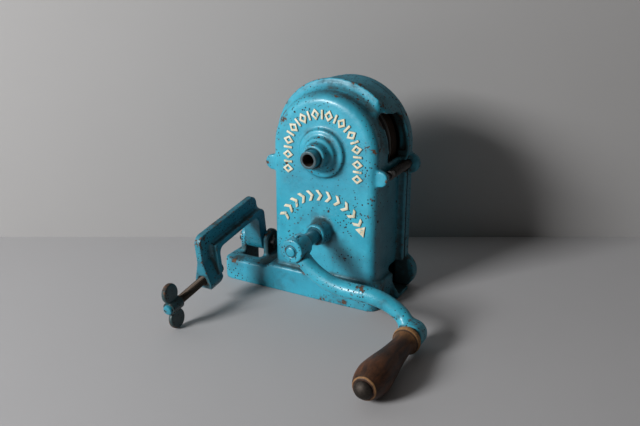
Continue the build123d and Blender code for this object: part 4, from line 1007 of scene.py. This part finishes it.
class KNIFE_OT_crank(Operator):
    """Skin the crank arm and finish the shaft, the pins and the spindle"""

    bl_idname = "knife_cleaner.crank"
    bl_label = "Crank"

    # The arm's tops and right sides take a quarter of the dust and of the painted shade
    dust_and_shade = 0.25
    button = ((0.0, -62.3), (4.7, -62.3), (4.7, -63.2), (4.3, -64.1), (3.4, -64.55), (0.0, -64.62))

    def execute(self, context):
        sizes = context.scene.knife_castings
        arm = casting("crank_arm", "crank_casting", sizes.arm_voxel, sizes.rounds, self.dust_and_shade, blend_eye)
        mark_shelter(arm, "crank_shaft", "grip", "grip_washer")
        settle(arm, "crank", PAINT, "crank_arm", look="arm_paint")
        machine("crank_shaft", 0.4, "crank", PAINT, "dark_paint")
        machine("crank_pin", 0.2, "crank", PAINT)
        machine("grip_washer", 0.2, "crank", STEEL)
        machine("grip_spindle", 0.3, "crank", STEEL, "brown_steel")
        button = turned("shaft_button", metres(self.button), 48, CRANK_AXIS.x, CRANK_AXIS.z)
        settle(button, "crank", PAINT)
        return {"FINISHED"}


def smooth_outline(points, steps):
    """A smooth line through (radius, Y) points."""
    ends = [Vector(point) for point in (points[0], *points, points[-1])]
    line = []
    for before, start, end, after in zip(ends, ends[1:], ends[2:], ends[3:]):
        leave = start + (end - before) / 6
        arrive = end - (after - start) / 6
        line.extend(interpolate_bezier(start, leave, arrive, end, steps + 1)[:-1])
    return [*line, ends[-1]]


class KNIFE_OT_grip(Operator):
    """Turn the wooden grip"""

    bl_idname = "knife_cleaner.grip"
    bl_label = "Grip"

    bore = 4.05
    collar = ((12.0, 0.0), (12.9, 1.0), (13.2, 3.2), (12.9, 5.6), (12.2, 6.6))
    swell = ((11.7, 7.2), (10.5, 10.6), (9.9, 15.0), (10.4, 25.0), (11.9, 40.0), (14.1, 56.0), (15.6, 70.0))
    tail = ((15.4, 76.0), (14.5, 82.0), (12.9, 87.6), (10.8, 91.8))
    end = ((10.4, 92.3), (9.9, 92.8), (9.2, 93.0))

    def execute(self, context):
        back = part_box("grip")[1].y
        points = [*smooth_outline(self.collar, 4), *smooth_outline(self.swell + self.tail, 6), *self.end]
        points = [(self.bore, 0.0), *points, (self.bore, self.end[-1][1]), (self.bore, 0.0)]
        outline = [(radius * MM, back - depth * MM) for radius, depth in points]
        piece = turned("turned_grip", outline, 72, GRIP_AXIS.x, GRIP_AXIS.z)
        settle(piece, "crank_grip", "grip_wood", "grip")
        return {"FINISHED"}


# Clamp, studs, axle and inner pieces


class KNIFE_OT_clamp(Operator):
    """Skin the clamp arm and its wing grip, and cut the clamp screw's thread"""

    bl_idname = "knife_cleaner.clamp"
    bl_label = "Table clamp"

    thread_from = -142.5 * MM
    thread_to = -80.8 * MM
    shank = ((0, -77.2), (3.5, -77.2), (3.5, -159.0), (0, -159.0))
    button = ((0, -159.0), (4.8, -159.0), (4.8, -160.6), (4.3, -161.6), (3.3, -162.0), (0, -162.0))
    screw_rise = 6.5 * MM

    def execute(self, context):
        sizes = context.scene.knife_castings
        threads = context.scene.knife_threads
        arm = casting("clamp_arm", "clamp_casting", sizes.arm_voxel, sizes.arm_rounds)
        mark_shelter(arm, "clamp_screw")
        settle(arm, "clamp_frame", CLAMP_PAINT, "clamp_arm")
        wing = casting("clamp_wing", "wing_casting", sizes.wing_voxel, sizes.arm_rounds)
        mark_shelter(wing)
        settle(wing, "screw", CLAMP_PAINT, "clamp_wing", look="wing_paint")
        profile = (threads.screw_radius, threads.screw_pitch, threads.screw_depth)
        screw = threaded("threaded_screw", *profile, self.thread_from, self.thread_to)
        carve(screw, turned("shank", metres(self.shank)), "UNION")
        rivet = turned("rivet_button", metres(self.button))
        hinge = Matrix.Translation((PAD.x, HINGE.y, HINGE.z)) @ Matrix.Rotation(SCREW_TILT, 4, "X")
        screw_line = hinge @ Matrix.Translation((0, 0, self.screw_rise))
        settle(place(rivet, screw_line), "screw", CLAMP_PAINT)
        place(screw, screw_line)
        settle(shade(screw), "screw", "rusty_steel", "clamp_screw")
        machine("clamp_pad", 0.3, "pad", "rusty_steel", name="pad_turned")
        machine("clamp_hinge_pin", 0.25, "casing", STEEL)
        machine("hinge_cotter", 0.25, "casing", STEEL)
        return {"FINISHED"}


# Shares of a nut's width over flats and over corners at which the chamfer starts and ends
NUT_FACE = 0.96
NUT_CORNER = 1.01


def chamfered_nut(node, name, chamfer):
    """A hexagon nut with its corners turned off at both ends."""
    low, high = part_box(node)
    centre = middle(node)
    corner = (high.x - low.x) / 2
    face = NUT_FACE * corner * math.cos(math.pi / 6)
    side = NUT_CORNER * corner
    front = [(0, low.y), (face, low.y), (side, low.y + chamfer)]
    barrel = [*front, (side, high.y - chamfer), (face, high.y), (0, high.y)]
    tool = turned("barrel", barrel, 60, centre.x, centre.z)
    return shade(carve(copy_node(node, name), tool, "INTERSECT"))


class KNIFE_OT_tension(Operator):
    """Cut the studs' threads and finish their nuts, washers, collars and springs"""

    bl_idname = "knife_cleaner.tension"
    bl_label = "Tension studs"

    thread_length = 16.0 * MM

    def execute(self, context):
        threads = context.scene.knife_threads
        radius = threads.stud_radius
        for side in ("left", "right"):
            low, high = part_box(f"tension_stud_{side}")
            centre = middle(f"tension_stud_{side}")
            start = high.y - self.thread_length
            profile = (radius, threads.stud_pitch, threads.stud_depth)
            stud = threaded(f"threaded_stud_{side}", *profile, start, high.y, 16)
            place(stud, Matrix.Translation((centre.x, 0, centre.z)))
            end = start + threads.stud_pitch
            plain = [(0, low.y), (radius, low.y), (radius, end), (0, end)]
            carve(stud, turned("plain", plain, 32, centre.x, centre.z), "UNION")
            settle(shade(stud), "casing", STEEL, f"tension_stud_{side}")
            nut = chamfered_nut(f"tension_nut_{side}", f"chamfered_nut_{side}", threads.nut_chamfer)
            settle(nut, f"nut_{side}", STEEL, f"tension_nut_{side}")
            machine(f"tension_washer_{side}", 0.2, "cover", STEEL, name=f"washer_{side}")
            machine(f"spring_collar_{side}", 0.3, "casing", STEEL, name=f"collar_{side}")
            spring = shade(copy_node(f"tension_spring_{side}", f"coil_{side}"))
            settle(spring, "casing", STEEL, f"tension_spring_{side}")
        return {"FINISHED"}


class KNIFE_OT_rear_axle(Operator):
    """Chamfer the rear axle's nut and finish the axle and its washer"""

    bl_idname = "knife_cleaner.rear_axle"
    bl_label = "Rear axle"

    thread_proud = 1.02
    thread_short = 0.4 * MM
    nut_chamfers = 1.5

    def execute(self, context):
        threads = context.scene.knife_threads
        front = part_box("rear_axle_nut")[0].y
        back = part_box("rear_axle")[1].y - self.thread_short
        machine("rear_axle", 0.3, "cover", STEEL, name="axle_turned")
        profile = (self.thread_proud * threads.axle_radius, threads.axle_pitch, threads.stud_depth)
        tip = threaded("axle_thread", *profile, front, back)
        place(tip, Matrix.Translation((DISC_AXIS.x, 0, DISC_AXIS.z)))
        settle(tip, "cover", STEEL)
        nut = chamfered_nut("rear_axle_nut", "axle_nut_chamfered", self.nut_chamfers * threads.nut_chamfer)
        settle(nut, "cover", STEEL, "rear_axle_nut")
        machine("rear_axle_washer", 0.25, "cover", STEEL, name="axle_washer")
        return {"FINISHED"}


class KNIFE_OT_inside(Operator):
    """Finish the inlet tube, the gears, the discs and the bushes"""

    bl_idname = "knife_cleaner.inside"
    bl_label = "Gears and discs"

    def execute(self, context):
        machine("inlet_tube", 0.3, "casing", STEEL, "worn_lip", "tube_turned")
        dress("cast_gear", "crank_gear", "pinion")
        dress("bearing_brass", "crank_bush", "rear_bush")
        dress("disc_wood", "front_disc", "rear_disc")
        dress("felt", "front_felt", "rear_felt")
        dress(STEEL, "inlet_lock_nut", "inlet_ring", "gear_pin", "disc_screws", "cover_dowels")
        return {"FINISHED"}


# Stage


def stage_finish(skin, colour, one_sided):
    """A plain matt surface; a one-sided one lets through what reaches its back."""
    mottle = skin.noise(9, 4).rise(0.3, 0.7) * 0.06
    shaded = skin.mix(mottle, colour, times(colour, 0.8))
    bump = skin.bump(skin.noise(700, 3) * 0.00004)
    shader = skin.node("BsdfPrincipled", {"Base Color": shaded, "Roughness": 0.75, "Normal": bump})
    if one_sided:
        back = skin.node("NewGeometry", output="Backfacing")
        clear = skin.node("BsdfTransparent")
        shader = skin.node("MixShader", {0: back, 1: shader, 2: clear})
    skin.node("OutputMaterial", {"Surface": shader})
    return skin.material


class KNIFE_OT_stage(Operator):
    """Lay the floor, raise the wall and set the lamps and the camera"""

    bl_idname = "knife_cleaner.stage"
    bl_label = "Stage"

    reach = 8.0
    thickness = 0.02
    eye = Vector((0.35636, -0.65996, 0.37933))
    pitch = math.radians(69.2)
    turn = math.radians(28.55)
    aim = Vector((0, 0.02, 0.11))
    key_spot = Vector((-0.85, -1.75, 0.95))
    key_size = 0.6
    fill_spot = Vector((-0.8, 2.0, 0.45))
    fill_size = 1.2

    def execute(self, context):
        stage = context.scene.knife_stage
        floor = add("plane", "floor", size=self.reach)
        begin_edit(floor)
        bpy.ops.mesh.extrude_region_move(TRANSFORM_OT_translate={"value": (0, 0, -self.thickness)})
        close_mesh()
        end_edit()
        floor.data.materials.append(stage_finish(Finish("floor"), stage.floor, False))
        wall = add("plane", "wall", size=self.reach)
        foot = Matrix.Translation((self.eye.x, self.eye.y, 0)) @ Matrix.Rotation(self.turn, 4, "Z")
        ahead = Matrix.Translation((0, stage.wall_distance, 0))
        place(wall, foot @ ahead @ Matrix.Rotation(math.pi / 2, 4, "X"))
        wall.data.materials.append(stage_finish(Finish("wall"), stage.wall, True))
        wall.visible_shadow = False
        self.lamp("key", self.key_spot, self.key_size, stage.key_power)
        fill = self.lamp("fill", self.fill_spot, self.fill_size, stage.fill_power)
        fill.visible_glossy = False
        world = context.scene.world = bpy.data.worlds.new("even_light")
        world.use_nodes = True
        background = world.node_tree.nodes["Background"]
        background.inputs["Color"].default_value = (*stage.sky_tone, 1.0)
        background.inputs["Strength"].default_value = stage.sky
        bpy.ops.object.camera_add(location=self.eye, rotation=(self.pitch, 0, self.turn))
        context.scene.camera = context.object
        context.object.data.lens = stage.lens
        context.scene.view_settings.view_transform = "Standard"
        return {"FINISHED"}

    def lamp(self, name, spot, size, power):
        bpy.ops.object.light_add(type="AREA", location=spot)
        made = active_as(name)
        made.data.size = size
        made.data.energy = power
        made.rotation_euler = (self.aim - spot).to_track_quat("-Z", "Y").to_euler()
        return made


class KNIFE_PT_panel(Panel):
    """The knife cleaner's pieces and settings"""

    bl_label = "Knife Cleaner"
    bl_idname = "KNIFE_PT_panel"
    bl_space_type = "VIEW_3D"
    bl_region_type = "UI"
    bl_category = "Knife Cleaner"

    def draw(self, context):
        for operator in OPERATORS:
            self.layout.operator(operator.bl_idname)
        for group in SETTINGS:
            box = self.layout.box()
            settings = getattr(context.scene, group)
            for key in settings.__annotations__:
                box.prop(settings, key)


SETTINGS = {
    "knife_castings": KnifeCastings,
    "knife_paint": KnifePaint,
    "knife_relief": KnifeRelief,
    "knife_threads": KnifeThreads,
    "knife_stage": KnifeStage,
}
OPERATORS = (
    KNIFE_OT_casing,
    KNIFE_OT_relief,
    KNIFE_OT_crank,
    KNIFE_OT_grip,
    KNIFE_OT_clamp,
    KNIFE_OT_tension,
    KNIFE_OT_rear_axle,
    KNIFE_OT_inside,
    KNIFE_OT_stage,
)


def register():
    for group, settings in SETTINGS.items():
        bpy.utils.register_class(settings)
        setattr(bpy.types.Scene, group, PointerProperty(type=settings))
    for made in (*OPERATORS, KNIFE_PT_panel):
        bpy.utils.register_class(made)


def unregister():
    for made in reversed((*OPERATORS, KNIFE_PT_panel)):
        bpy.utils.unregister_class(made)
    for group, settings in SETTINGS.items():
        delattr(bpy.types.Scene, group)
        bpy.utils.unregister_class(settings)


def main():
    register()
    for operator in OPERATORS:
        getattr(bpy.ops.knife_cleaner, operator.bl_idname.split(".")[1])()


if __name__ == "__main__":
    main()
